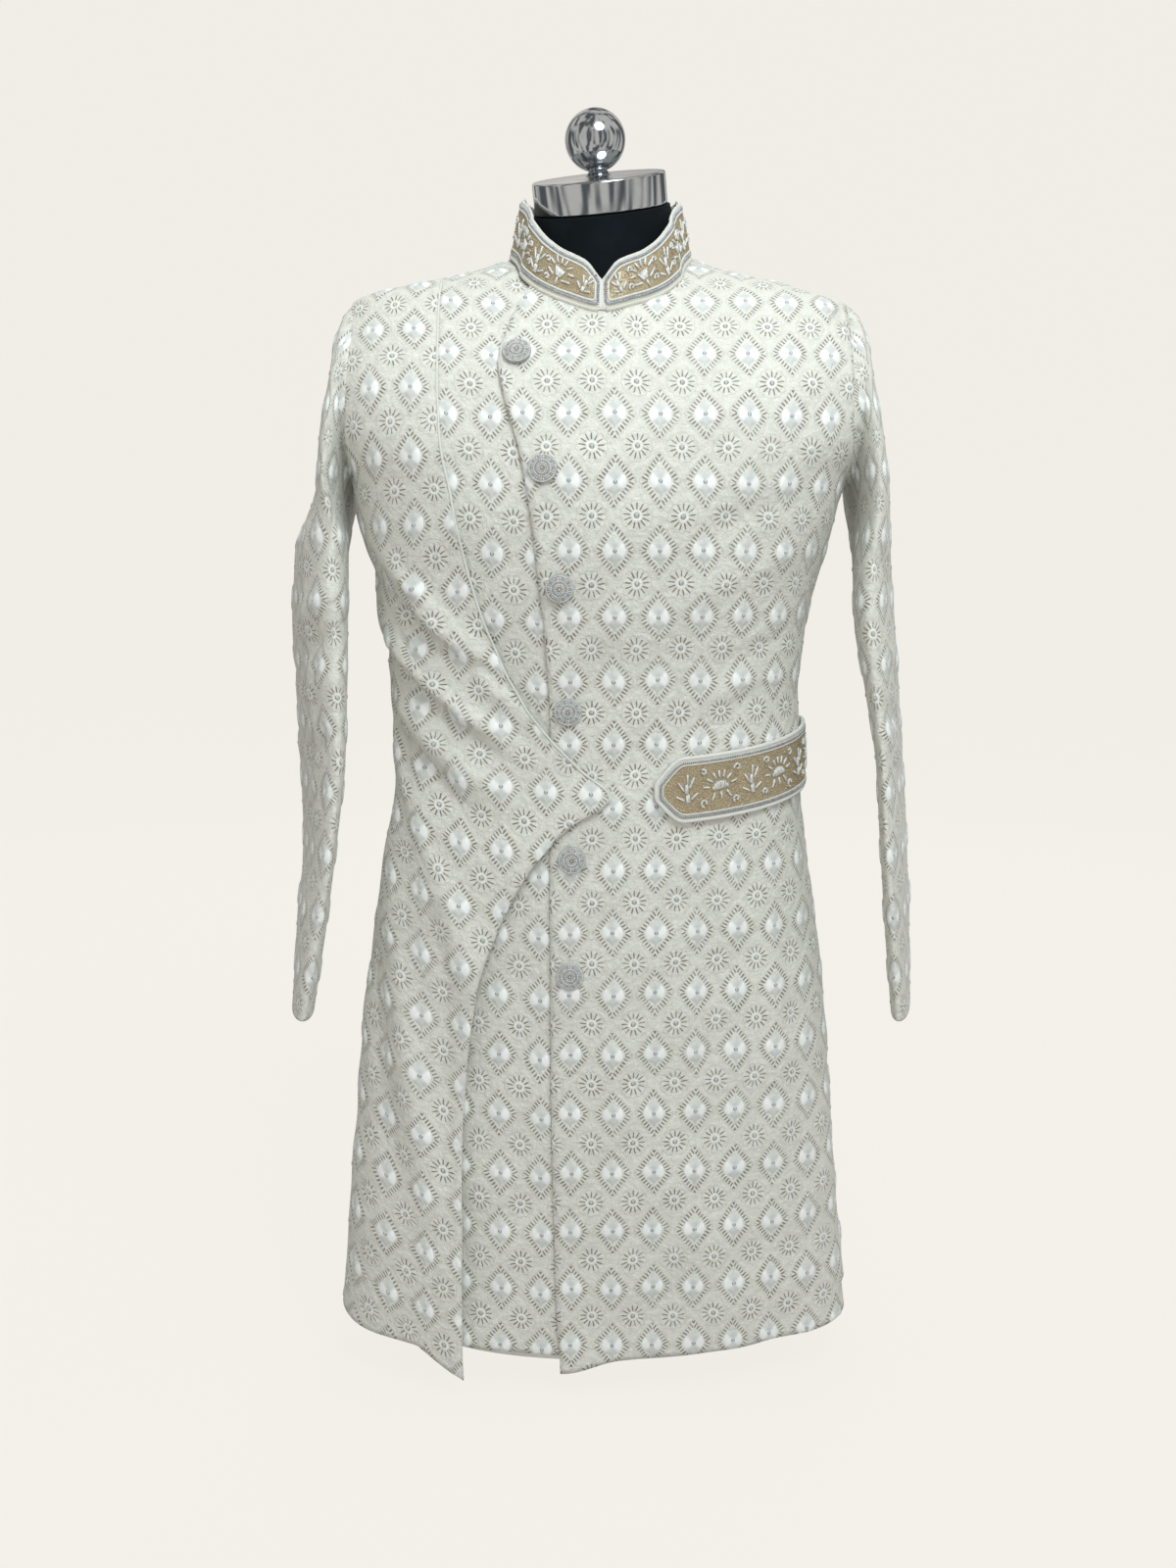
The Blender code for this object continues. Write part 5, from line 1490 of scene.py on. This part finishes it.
def sunStrokes():
    # a half disc of upright bugles with rays round it
    strokes = [((x, -2.4), (x, -2.4 + 5.6 * math.sqrt(max(0.05, 1 - (x / 5.6) ** 2))))
               for x in (-4.9, -3.5, -2.1, -0.7, 0.7, 2.1, 3.5, 4.9)]
    for degrees in (10, 40, 68, 90, 112, 140, 170):
        turn = math.radians(degrees)
        reach = 6.6 if 30 < degrees < 150 else 7.6
        strokes.append(((math.cos(turn) * reach, math.sin(turn) * reach - 1.0),
                        (math.cos(turn) * (reach + 4.6), math.sin(turn) * (reach + 4.6) - 1.0)))
    for x in (-5.2, 0.0, 5.2):
        strokes.append(((x * 0.8, -4.2), (x * 1.3, -9.0)))
    return strokes


def sprayStrokes():
    # a stem of laid bugles with three pairs of leaves
    return [((-0.6, -8.5), (-0.6, -3.4)), ((0.6, -8.5), (0.6, -3.0)), ((0.0, -3.0), (0.6, 3.2)),
            ((-0.9, -2.6), (-0.3, 3.0)), ((0.8, 3.4), (1.4, 9.0)), ((-1.8, -1.0), (-4.6, 4.8)),
            ((1.8, 0.4), (5.4, 6.6)), ((-2.2, -6.8), (-6.8, -3.4)), ((2.0, -6.6), (6.6, -3.6))]


def blossomStrokes():
    # a vase of laid bugles with rays fanned over it
    strokes = [((x, 2.6), (x * 0.35, -2.8)) for x in (-3.6, -2.3, -1.0, 0.3, 1.6, 2.9)]
    strokes.append(((0.0, -3.2), (0.6, -8.0)))
    for degrees in (20, 52, 80, 104, 132, 164):
        turn = math.radians(degrees)
        strokes.append(((math.cos(turn) * 5.2, math.sin(turn) * 4.6 + 1.0),
                        (math.cos(turn) * 9.4, math.sin(turn) * 8.8 + 1.0)))
    strokes += [((3.0, -3.6), (8.4, -1.4)), ((-3.0, -3.8), (-8.0, -2.4))]
    return strokes


def shellStrokes():
    # a small curl of short bugles
    turns = [math.radians(degrees) for degrees in (200, 140, 80, 20, -40, -110)]
    reach = (3.0, 3.0, 2.8, 2.4, 1.8, 1.0)
    spots = [(math.cos(turn) * far, math.sin(turn) * far) for turn, far in zip(turns, reach)]
    return list(zip(spots, spots[1:]))


def scatter(places, spots):
    # small beads between the figures
    return [(place[0] + u / 1000, place[1] + v / 1000) for place in places for u, v in spots]


collarSurface = makeCollar()


def drawCollar():
    total = collarSurface.flat[0, -1, 0]
    strokes, middles = [], []
    for way in (0, 1):
        for index in range(9):
            along = collarShape["figureStart"] + index * collarShape["figureStep"]
            if along > total / 2 - 0.006:
                continue
            u = along if way == 0 else total - along
            column = int(np.argmin(np.abs(collarSurface.flat[0, :, 0] - u)))
            middle = (u, collarSurface.flat[-1, column, 1] * 0.5)
            lean = (0.45 if way == 0 else -0.45) * (1 - fade(along, 0.02, 0.1))
            figure = sprayStrokes() if index % 2 == 0 else blossomStrokes()
            strokes += placed(figure, middle, lean, 1.06 if index == 0 else 1.46)
            middles.append(middle)
            if index:
                for u, v in ((-12.6, -7.6), (-13.2, 7.4)):
                    strokes += placed(shellStrokes(), (middle[0] + u / 1000, middle[1] + v / 1000), lean, 0.9)
    return strokes, scatter(middles, ((-11.4, 2.0), (-14.0, -2.4), (-10.6, -2.8), (-13.0, 1.6), (10.6, 9.6)))


collarTrim = trimBand("collar", collarSurface, collarShape["wall"], collarShape, drawCollar())


def makeCollarSeam():
    # a soft cord of the coat's cloth along the seam where the collar is set on
    (start, span), steps, path = collarShape["seamSpan"], collarShape["seamSteps"], []
    for step in range(steps + 1):
        point, normal, stand = collarStand(math.radians(start + span * step / steps))
        path.append(point + normal * (stand + 0.0004))
    piece = tubePiece("collarSeam", path, collarShape["seamCord"], sides=8)
    dress(piece, (plainCord,))
    return piece


collarTrim.append(makeCollarSeam())
print("collar made")


beltShape = {
    "front": 0.583, "side": 0.61, "height": 0.057, "tip": 0.048, "tipLength": 0.024,
    "end": 2 * math.pi - side - 0.02, "stand": 0.0028, "wall": 0.003, "columns": 260, "rows": 16,
    "piping": 0.002, "ladderInset": 0.0038, "ladderLength": 0.0024, "ladderStep": 0.0017,
    "innerCordInset": 0.006, "innerCord": 0.0007, "bugle": 0.001,
    "figureStart": 0.0275, "figureStep": 0.0315, "figureEnd": 0.014,
}


def makeBelt():
    columns, rows = beltShape["columns"], beltShape["rows"]
    tip = angleAt(beltShape["tip"], beltShape["front"])
    places = np.zeros((rows + 1, columns + 1, 3))
    flat = np.zeros((rows + 1, columns + 1, 2))
    for column in range(columns + 1):
        share = (column / columns) ** 1.45
        angle = tip + (beltShape["end"] - tip) * share
        dip = (beltShape["side"] - beltShape["front"]) * max(0.0, math.cos(angle)) ** 1.5
        middle = beltShape["side"] - dip
        reach = (coatPoint(angle, middle).x - beltShape["tip"]) / beltShape["tipLength"]
        if angle > side:
            reach = 1.0
        half = beltShape["height"] / 2 * min(1.0, 0.04 + 0.96 * fade(reach, -0.45, 1.0))
        for row in range(rows + 1):
            rise = half * (2 * row / rows - 1)
            point, normal = coatPoint(angle, middle + rise), coatNormal(angle, middle + rise)
            stand = overLift(point) if angle < side else 0.0
            swell = 0.0005 * (1 - (rise / half) ** 4)
            outside = point + normal * (stand + cloth + beltShape["stand"] + beltShape["wall"] + swell)
            places[row, column], flat[row, column, 1] = outside, rise
    return bandPiece("beltBand", places, flat, beltShape["wall"], "belt")


beltSurface = makeBelt()


def drawBelt():
    total = beltSurface.flat[0, -1, 0]
    strokes, middles, along, index = [], [], beltShape["figureStart"], 0
    while along < total - beltShape["figureEnd"]:
        figure = sprayStrokes() if index % 2 == 0 else sunStrokes()
        strokes += placed(figure, (along, 0.0005), 0.1, 1.48 if index % 2 == 0 else 1.38)
        if along > 0.04:
            middles.append((along, 0.0))
            for u, v in ((-15.8, -14.2), (-15.2, 14.6)):
                stray = math.sin(index * 2.4 + v)
                strokes += placed(shellStrokes(), (along + (u + stray) / 1000, v / 1000),
                                  0.4 * v + 0.8 * stray, 1.12 + 0.16 * stray)
        along += beltShape["figureStep"]
        index += 1
    return strokes, scatter(middles, ((-15.6, -8.0), (-9.0, -15.8), (-19.4, -16.4), (-15.4, 8.4),
                                      (8.4, 16.4), (-15.8, 1.0)))


beltTrim = trimBand("belt", beltSurface, beltShape["wall"], beltShape, drawBelt())
print("belt made")


def edgePiping(name, points, radius, keep):
    path = [Vector(points[row, -1, :3]) for row in range(len(points)) if keep(points[row, -1, 2])]
    line, _ = evenLine(np.array(path), 0.004, closed=False)
    piece = tubePiece(name, line, radius, sides=6)
    dress(piece, (whiteCord,))
    return piece


overlayPiping = edgePiping("overlayPiping", overlayPoints, 0.0011, lambda height: height > 0.575)


buttonShape = {
    "spots": ((-0.0725, 0.962), (-0.05, 0.865), (-0.036, 0.766), (-0.0292, 0.658),
              (-0.0262, 0.523), (-0.028, 0.416)),
    "radius": 0.0123, "edge": 0.0022, "rise": 0.005, "standOff": 0.0006,
    # radius of a ring of beads, how many, bead radius, material
    "rings": ((0.0122, 46, 0.0006, 0), (0.0113, 48, 0.0008, 3), (0.0072, 30, 0.0008, 3),
              (0.0058, 20, 0.0007, 0), (0.0044, 19, 0.00078, 3), (0.0029, 10, 0.0008, 1),
              (0.0014, 5, 0.00075, 2), (0.0, 1, 0.0009, 3)),
    "bars": (0.0081, 0.0105, 30, 0.00056),
}


def domeHeight(radius):
    share = min(radius / buttonShape["radius"], 1.0)
    return buttonShape["edge"] + (buttonShape["rise"] - buttonShape["edge"]) * math.sqrt(1 - share * share)


def makeButton(number, offset, height):
    angle = solve(lambda here: coatPoint(here, height).x - offset, -side, side)
    point, normal = coatPoint(angle, height), coatNormal(angle, height)
    point += normal * (overLift(point) + cloth + buttonShape["standOff"] + frontStand(point))
    turn = normal.to_track_quat("Z", "Y")
    base = addCylinder(40, buttonShape["radius"] * 0.93, buttonShape["edge"] * 0.5)
    bpy.ops.object.mode_set(mode="EDIT")
    pick(base, lambda face: face.normal.z > 0.9)
    before, low = buttonShape["radius"] * 0.93, buttonShape["edge"] * 0.5
    for share in (1.0, 0.97, 0.86, 0.68, 0.46, 0.22):
        radius = buttonShape["radius"] * share
        high = domeHeight(radius) - 0.0004
        bpy.ops.mesh.extrude_region_move(TRANSFORM_OT_translate={"value": (0, 0, high - low)})
        bpy.ops.transform.resize(value=(radius / before, radius / before, 1.0))
        before, low = radius, high
    bpy.ops.object.mode_set(mode="OBJECT")
    place = Matrix.Translation(point) @ turn.to_matrix().to_4x4()
    base.data.transform(place)
    base.name = f"button{number}"
    base.data.shade_smooth()
    dress(base, (buttonBase,), (f"button_{number}",))
    groups = {0: [], 1: [], 2: [], 3: []}
    for ring, (radius, count, size, kind) in enumerate(buttonShape["rings"]):
        for step in range(count):
            spin = 2 * math.pi * (step + 0.5 * (ring % 2)) / count
            local = Vector((radius * math.cos(spin), radius * math.sin(spin), domeHeight(radius) - 0.0002))
            groups[kind] += beadsAt([place @ local], [normal], size, 0.75)
    near, far, count, size = buttonShape["bars"]
    bars, darkBars = [], []
    for step in range(count):
        spin = 2 * math.pi * step / count
        ends = [place @ Vector((r * math.cos(spin), r * math.sin(spin), domeHeight(r))) for r in (near, far)]
        run, over = ends[1] - ends[0], normal.cross(ends[1] - ends[0]).normalized()
        frameOf = np.array([run, over * size, normal * size])
        (darkBars if step % 3 == 0 else bars).append(np.array((ends[0] + ends[1]) / 2) + tubeBead @ frameOf)
    kinds = [(groups[kind], roundFaces, kind) for kind in groups]
    kinds += [(bars, tubeFaces, 1), (darkBars, tubeFaces, 0)]
    beadPiece(f"button{number}Beads", kinds, (darkGlass, buttonGlass, goldGlass, whiteGlass))


darkGlass = makeGlass("greyBeads", tone(186, 189, 190), 0.3, 0.0)
buttonGlass = makeGlass("buttonBugles", tone(230, 232, 231), 0.26, 0.0)
buttonBase = makeThread("buttonCloth", tone(186, 187, 183), 0.7)
for number, spot in enumerate(buttonShape["spots"], start=1):
    makeButton(number, *spot)
print("buttons made")


formShape = {
    "inset": 0.008, "drop": 0.008, "armPlate": 0.206, "bottom": 0.44, "rounding": 0.006, "blend": 10,
    "sides": 96, "neckRadius": 0.0625, "neckForward": 0.003, "flare": 0.009, "flareTop": 1.075,
    "capBase": 1.1035, "capRoll": -5.5, "capNod": 16.0, "capRadius": 0.0605, "capHeight": 0.0285,
    "capEdge": 0.0022, "ballRadius": 0.027, "ballHeight": 0.059, "stemRadius": 0.0085,
    "postRadius": 0.016, "base": (0.17, 0.064, 0.009), "baseBack": 0.032,
    # first height, spacing and number of rings; rim, dish and crown of the cap's top; lip of the stem
    "levels": ((0.455, 0.0146, 38), (1.004, 0.006, 12)), "capDish": (0.006, 0.02, 0.001),
    "stemLift": 0.0012, "stemLip": 0.003, "stemFlare": 1.45,
}


def capPlace():
    tilt = Matrix.Rotation(math.radians(formShape["capNod"]), 4, "X")
    tilt = tilt @ Matrix.Rotation(math.radians(formShape["capRoll"]), 4, "Y")
    return Matrix.Translation((0.0, -formShape["neckForward"], formShape["capBase"])) @ tilt


def formSpot(angle, level, inset):
    halfWidth, front, rear, sideAt, square = sectionAt(level + formShape["drop"])
    depth = (sideAt - front) if math.cos(angle) > 0 else (rear - sideAt)
    halfWidth, depth = halfWidth - inset, max(depth - inset, 0.001)
    turnX, turnY = math.sin(angle) / halfWidth, math.cos(angle) / depth
    body = (abs(turnX) ** square + abs(turnY) ** square) ** (-1 / square)
    flare = formShape["flare"] * fade(formShape["flareTop"] - level, 0.0, formShape["flareTop"] - 1.0)
    neck = 0.0
    if level > coatShape["neckFade"]:
        neck = formShape["neckRadius"] + flare + formShape["neckForward"] * math.cos(angle)
    reach = (body ** formShape["blend"] + neck ** formShape["blend"]) ** (1 / formShape["blend"])
    x = min(max(reach * math.sin(angle), -formShape["armPlate"]), formShape["armPlate"])
    return x, sideAt - reach * math.cos(angle)


def makeForm():
    levels = [formShape["bottom"], formShape["bottom"] + formShape["rounding"]]
    levels += [start + spacing * step for start, spacing, count in formShape["levels"]
               for step in range(count)]
    sides = formShape["sides"]
    angles = [2 * math.pi * step / sides for step in range(sides)]
    bm = bmesh.new()
    rings = []
    for index, level in enumerate(levels):
        inset = formShape["inset"] + (formShape["rounding"] if index == 0 else 0.0)
        rings.append([bm.verts.new((*formSpot(angle, level, inset), level)) for angle in angles])
    normal = capPlace().to_3x3() @ Vector((0, 0, 1))
    last = rings[-1]
    ring = []
    for angle in angles:
        reach = formShape["neckRadius"] + formShape["neckForward"] * math.cos(angle)
        x, y = reach * math.sin(angle), -reach * math.cos(angle)
        slant = normal.x * x + normal.y * (y + formShape["neckForward"])
        ring.append(bm.verts.new((x, y, formShape["capBase"] - seamGap - slant / normal.z)))
    middle = [bm.verts.new((low.co + high.co) / 2) for low, high in zip(last, ring)]
    rings += [middle, ring]
    for low, high in zip(rings, rings[1:]):
        for step in range(sides):
            after = (step + 1) % sides
            bm.faces.new((low[step], low[after], high[after], high[step]))
    bm.faces.new(rings[0][::-1])
    bm.faces.new(rings[-1])
    finishHard(meshPiece("dressForm", bm), "dressForm", jersey, ("dress_form",), sharpest=50)


def makeJersey():
    item, tree, shader = newMaterial("blackJersey", tone(10, 20, 25), 0.85,
                                     shaderValues=(("Sheen Weight", 0.02), ("Specular IOR Level", 0.15)))
    knit = waveOf(tree, objectPlace(tree), 620.0, 2.0, detail=1.0)
    fine = placeGroup(tree, surfaceGrain, Place=objectPlace(tree), Scale=700.0)
    wire(tree, mixColour(tree, fine["Marks"], tone(6, 14, 19), tone(11, 20, 26)), shader["Base Color"])
    bumpOf(tree, shader, mathsFor(tree)("ADD", knit, fine["Grain"]), 0.00012, 0.4)
    return item


def bevelEdges(piece, width, segments):
    applyModifier(piece, "BEVEL", width=width, segments=segments, limit_method="ANGLE",
                  angle_limit=math.radians(60))


def finishHard(piece, name, material, nodes, place=None, sharpest=35):
    piece.name = name
    if place is not None:
        piece.data.transform(place)
    makeCurrent(piece)
    bpy.ops.object.shade_smooth_by_angle(angle=math.radians(sharpest))
    dress(piece, (material,), nodes)
    bpy.ops.object.select_all(action="DESELECT")


def makeCap():
    piece = addCylinder(128, formShape["capRadius"], formShape["capHeight"])
    bpy.ops.object.mode_set(mode="EDIT")
    pick(piece, lambda face: face.normal.z > 0.9)
    rim, dish, crown = formShape["capDish"]
    bpy.ops.mesh.inset(thickness=rim)
    bpy.ops.mesh.inset(thickness=dish)
    bpy.ops.transform.translate(value=(0, 0, crown))
    bpy.ops.object.mode_set(mode="OBJECT")
    bevelEdges(piece, formShape["capEdge"], 5)
    finishHard(piece, "neckCap", chrome, ("neck_cap",), capPlace())


def makeBall():
    radius, middle, stem = formShape["ballRadius"], formShape["ballHeight"], formShape["stemRadius"]
    foot = formShape["capHeight"] + formShape["stemLift"] + seamGap
    lip, flare = formShape["stemLip"], formShape["stemFlare"]
    bpy.ops.mesh.primitive_uv_sphere_add(segments=64, ring_count=40, radius=radius, location=(0, 0, middle))
    piece = bpy.context.active_object
    bpy.ops.object.transform_apply(location=True, rotation=True, scale=True)
    bpy.ops.object.mode_set(mode="EDIT")
    bpy.ops.mesh.select_all(action="SELECT")
    cut = middle - math.sqrt(radius * radius - stem * stem)
    bpy.ops.mesh.bisect(plane_co=(0, 0, cut), plane_no=(0, 0, 1), use_fill=True, clear_inner=True)
    pick(piece, lambda face: face.calc_center_median().z < cut + 0.0001)
    bpy.ops.mesh.extrude_region_move(TRANSFORM_OT_translate={"value": (0, 0, foot + lip - cut)})
    bpy.ops.mesh.extrude_region_move(TRANSFORM_OT_translate={"value": (0, 0, -lip)})
    bpy.ops.transform.resize(value=(flare, flare, 1.0))
    bpy.ops.object.mode_set(mode="OBJECT")
    finishHard(piece, "finialBall", chrome, ("finial_ball",), capPlace())


def makeStand():
    halfLength, halfDepth, thick = formShape["base"]
    low, high = thick + seamGap, formShape["bottom"] - seamGap
    post = addCylinder(64, formShape["postRadius"], high - low, low)
    bevelEdges(post, 0.001, 2)
    finishHard(post, "standPost", steel, ("post",))
    base = addCylinder(128, 1.0, thick)
    bpy.ops.transform.resize(value=(halfLength, halfDepth, 1.0))
    bpy.ops.transform.translate(value=(0, formShape["baseBack"], 0))
    bpy.ops.object.transform_apply(location=True, rotation=True, scale=True)
    bevelEdges(base, 0.002, 3)
    finishHard(base, "standBase", steel, ("base",))


jersey = makeJersey()
chrome = makeMetal("polishedChrome", tone(196, 200, 203), 0.1, 300.0, 0.00002)
steel = makeMetal("whiteSteel", tone(236, 233, 226), 0.45, 500.0, 0.0001, 0.0)
makeForm()
makeCap()
makeBall()
makeStand()
print("dress form made")


cuts = {
    "frontLeftOver": (0.393, 1.168, 0.328, "hung"), "frontRightUnder": (0.314, 1.153, 0.271, "hung"),
    "backLeft": (0.32, 1.158, 0.274, "hung"), "backRight": (0.32, 1.158, 0.274, "hung"),
    "overlayRight": (0.308, 1.058, 0.175, "draped"), "sleeveLeft": (0.394, 0.668, 0.2, "hung"),
    "sleeveRight": (0.405, 0.671, 0.204, "hung"), "collarBand": (0.532, 0.047, 0.0236, "hung"),
    "beltBand": (0.687, 0.057, 0.0391, "stretched"),
}


def declareSheets():
    going = {name: [piece] for name, piece in panelEyes.items()}
    going["overlayRight"].append(overlayPiping)
    going["collarBand"], going["beltBand"] = collarTrim, beltTrim
    for name, (width, length, area, held) in cuts.items():
        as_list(going[name])


declareSheets()


studio = {
    "backdrop": tone(243, 240, 233), "paperShade": 0.035, "paperGlow": 0.95,
    "room": (4.6, 6.0), "roomCurve": 1.4,
    # the air's darkest and brightest bands, which show in the chrome
    "airDark": (0.17, 0.18, 0.19), "airLight": (1.04, 1.0, 0.94), "airStrength": 0.7,
    "airStretch": (2.6, 2.6, 0.3),
    "cameraPlace": (-0.012, -1.49, 0.798), "pitch": 8.5, "lens": 36.0,
    # name, place, aim, size, watts, colour
    "lamps": (
        ("keyLight", (0.5, -1.6, 2.4), (0.0, 0.0, 1.0), 1.1, 30.0, (0.86, 0.95, 1.0)),
        ("fillLight", (-2.0, -2.4, 1.3), (0.0, 0.0, 0.6), 2.2, 3.0, (1.0, 0.97, 0.93)),
        ("frontLight", (0.2, -3.0, 0.95), (0.05, 0.0, 0.65), 2.0, 19.0, (0.97, 0.98, 1.0)),
        ("topLight", (0.0, -0.2, 2.9), (0.0, 0.0, 0.9), 1.6, 14.0, (0.9, 0.96, 1.0)),
        ("backLight", (0.6, 2.6, 2.2), (0.0, 0.0, 0.8), 1.6, 24.0, (1.0, 0.99, 0.97))),
}


def makeStudio():
    # a round room of paper: a floor, and a wall that starts in a wide curve
    radius, high = studio["room"]
    wall = addCylinder(96, radius, high)
    wall.name = "studioWall"
    bpy.ops.object.mode_set(mode="EDIT")
    bpy.ops.mesh.select_all(action="SELECT")
    bpy.ops.mesh.flip_normals()
    pick(wall, lambda face: face.calc_center_median().z > high - 0.1)
    bpy.ops.mesh.delete(type="FACE")
    pick(wall, lambda face: face.calc_center_median().z < 0.1)
    bpy.ops.mesh.inset(thickness=studio["roomCurve"] + 0.2)
    bpy.ops.mesh.separate(type="SELECTED")
    pick(wall, lambda edge: all(vert.co.z < 0.1 and vert.co.xy.length > radius - 0.1 for vert in edge.verts),
         "EDGE")
    bpy.ops.mesh.bevel(offset=studio["roomCurve"], segments=14)
    bpy.ops.object.mode_set(mode="OBJECT")
    floor = next(piece for piece in bpy.context.selected_objects if piece != wall)
    floor.name = "studioFloor"
    wall.data.shade_smooth()
    paper = darker(studio["backdrop"], studio["paperShade"])
    item, tree, shader = newMaterial("studioPaper", paper, 0.95, 0.0, (
        ("Emission Color", (*studio["backdrop"], 1.0)), ("Emission Strength", studio["paperGlow"])))
    fine = noiseOf(tree, objectPlace(tree), 260.0, 2.0)
    wire(tree, mixColour(tree, fine, paper, darker(paper, 0.97)), shader["Base Color"])
    # the paper neither lights the coat nor shows in the chrome
    for paperPiece in (floor, wall):
        paperPiece.data.materials.append(item)
        paperPiece.visible_diffuse = paperPiece.visible_glossy = False
    wall.visible_shadow = False
    for name, place, aim, size, watts, colour in studio["lamps"]:
        bpy.ops.object.light_add(type="AREA", location=place)
        lamp = bpy.context.active_object
        lamp.name = name
        lamp.data.shape, lamp.data.size = "DISK", size
        lamp.data.energy, lamp.data.color = watts, colour
        lamp.visible_glossy = name == "keyLight"
        lamp.rotation_euler = (Vector(aim) - Vector(place)).to_track_quat("-Z", "Y").to_euler()
    world = bpy.data.worlds.new("studioAir")
    bpy.context.scene.world = world
    world.use_nodes = True
    tree = world.node_tree
    direction = tree.nodes.new("ShaderNodeTexCoord").outputs["Generated"]
    stretched = nodeOf(tree, "Mapping", direction, Scale=studio["airStretch"])
    bands = noiseOf(tree, stretched.outputs["Vector"], 1.6, 1.0, 0.4)
    share = smoothRange(tree, bands, 0.42, 0.58)
    air = tree.nodes["Background"]
    wire(tree, mixColour(tree, share, studio["airDark"], studio["airLight"]), air.inputs["Color"])
    air.inputs["Strength"].default_value = studio["airStrength"]
    bpy.ops.object.camera_add(location=studio["cameraPlace"],
                              rotation=(math.radians(90 - studio["pitch"]), 0.0, 0.0))
    camera = bpy.context.active_object
    camera.name = "frontCamera"
    camera.data.lens, camera.data.sensor_width = studio["lens"], 36.0
    bpy.context.scene.camera = camera
    bpy.context.scene.view_settings.view_transform = "Standard"
    bpy.ops.object.select_all(action="DESELECT")


makeStudio()
print("scene ready")
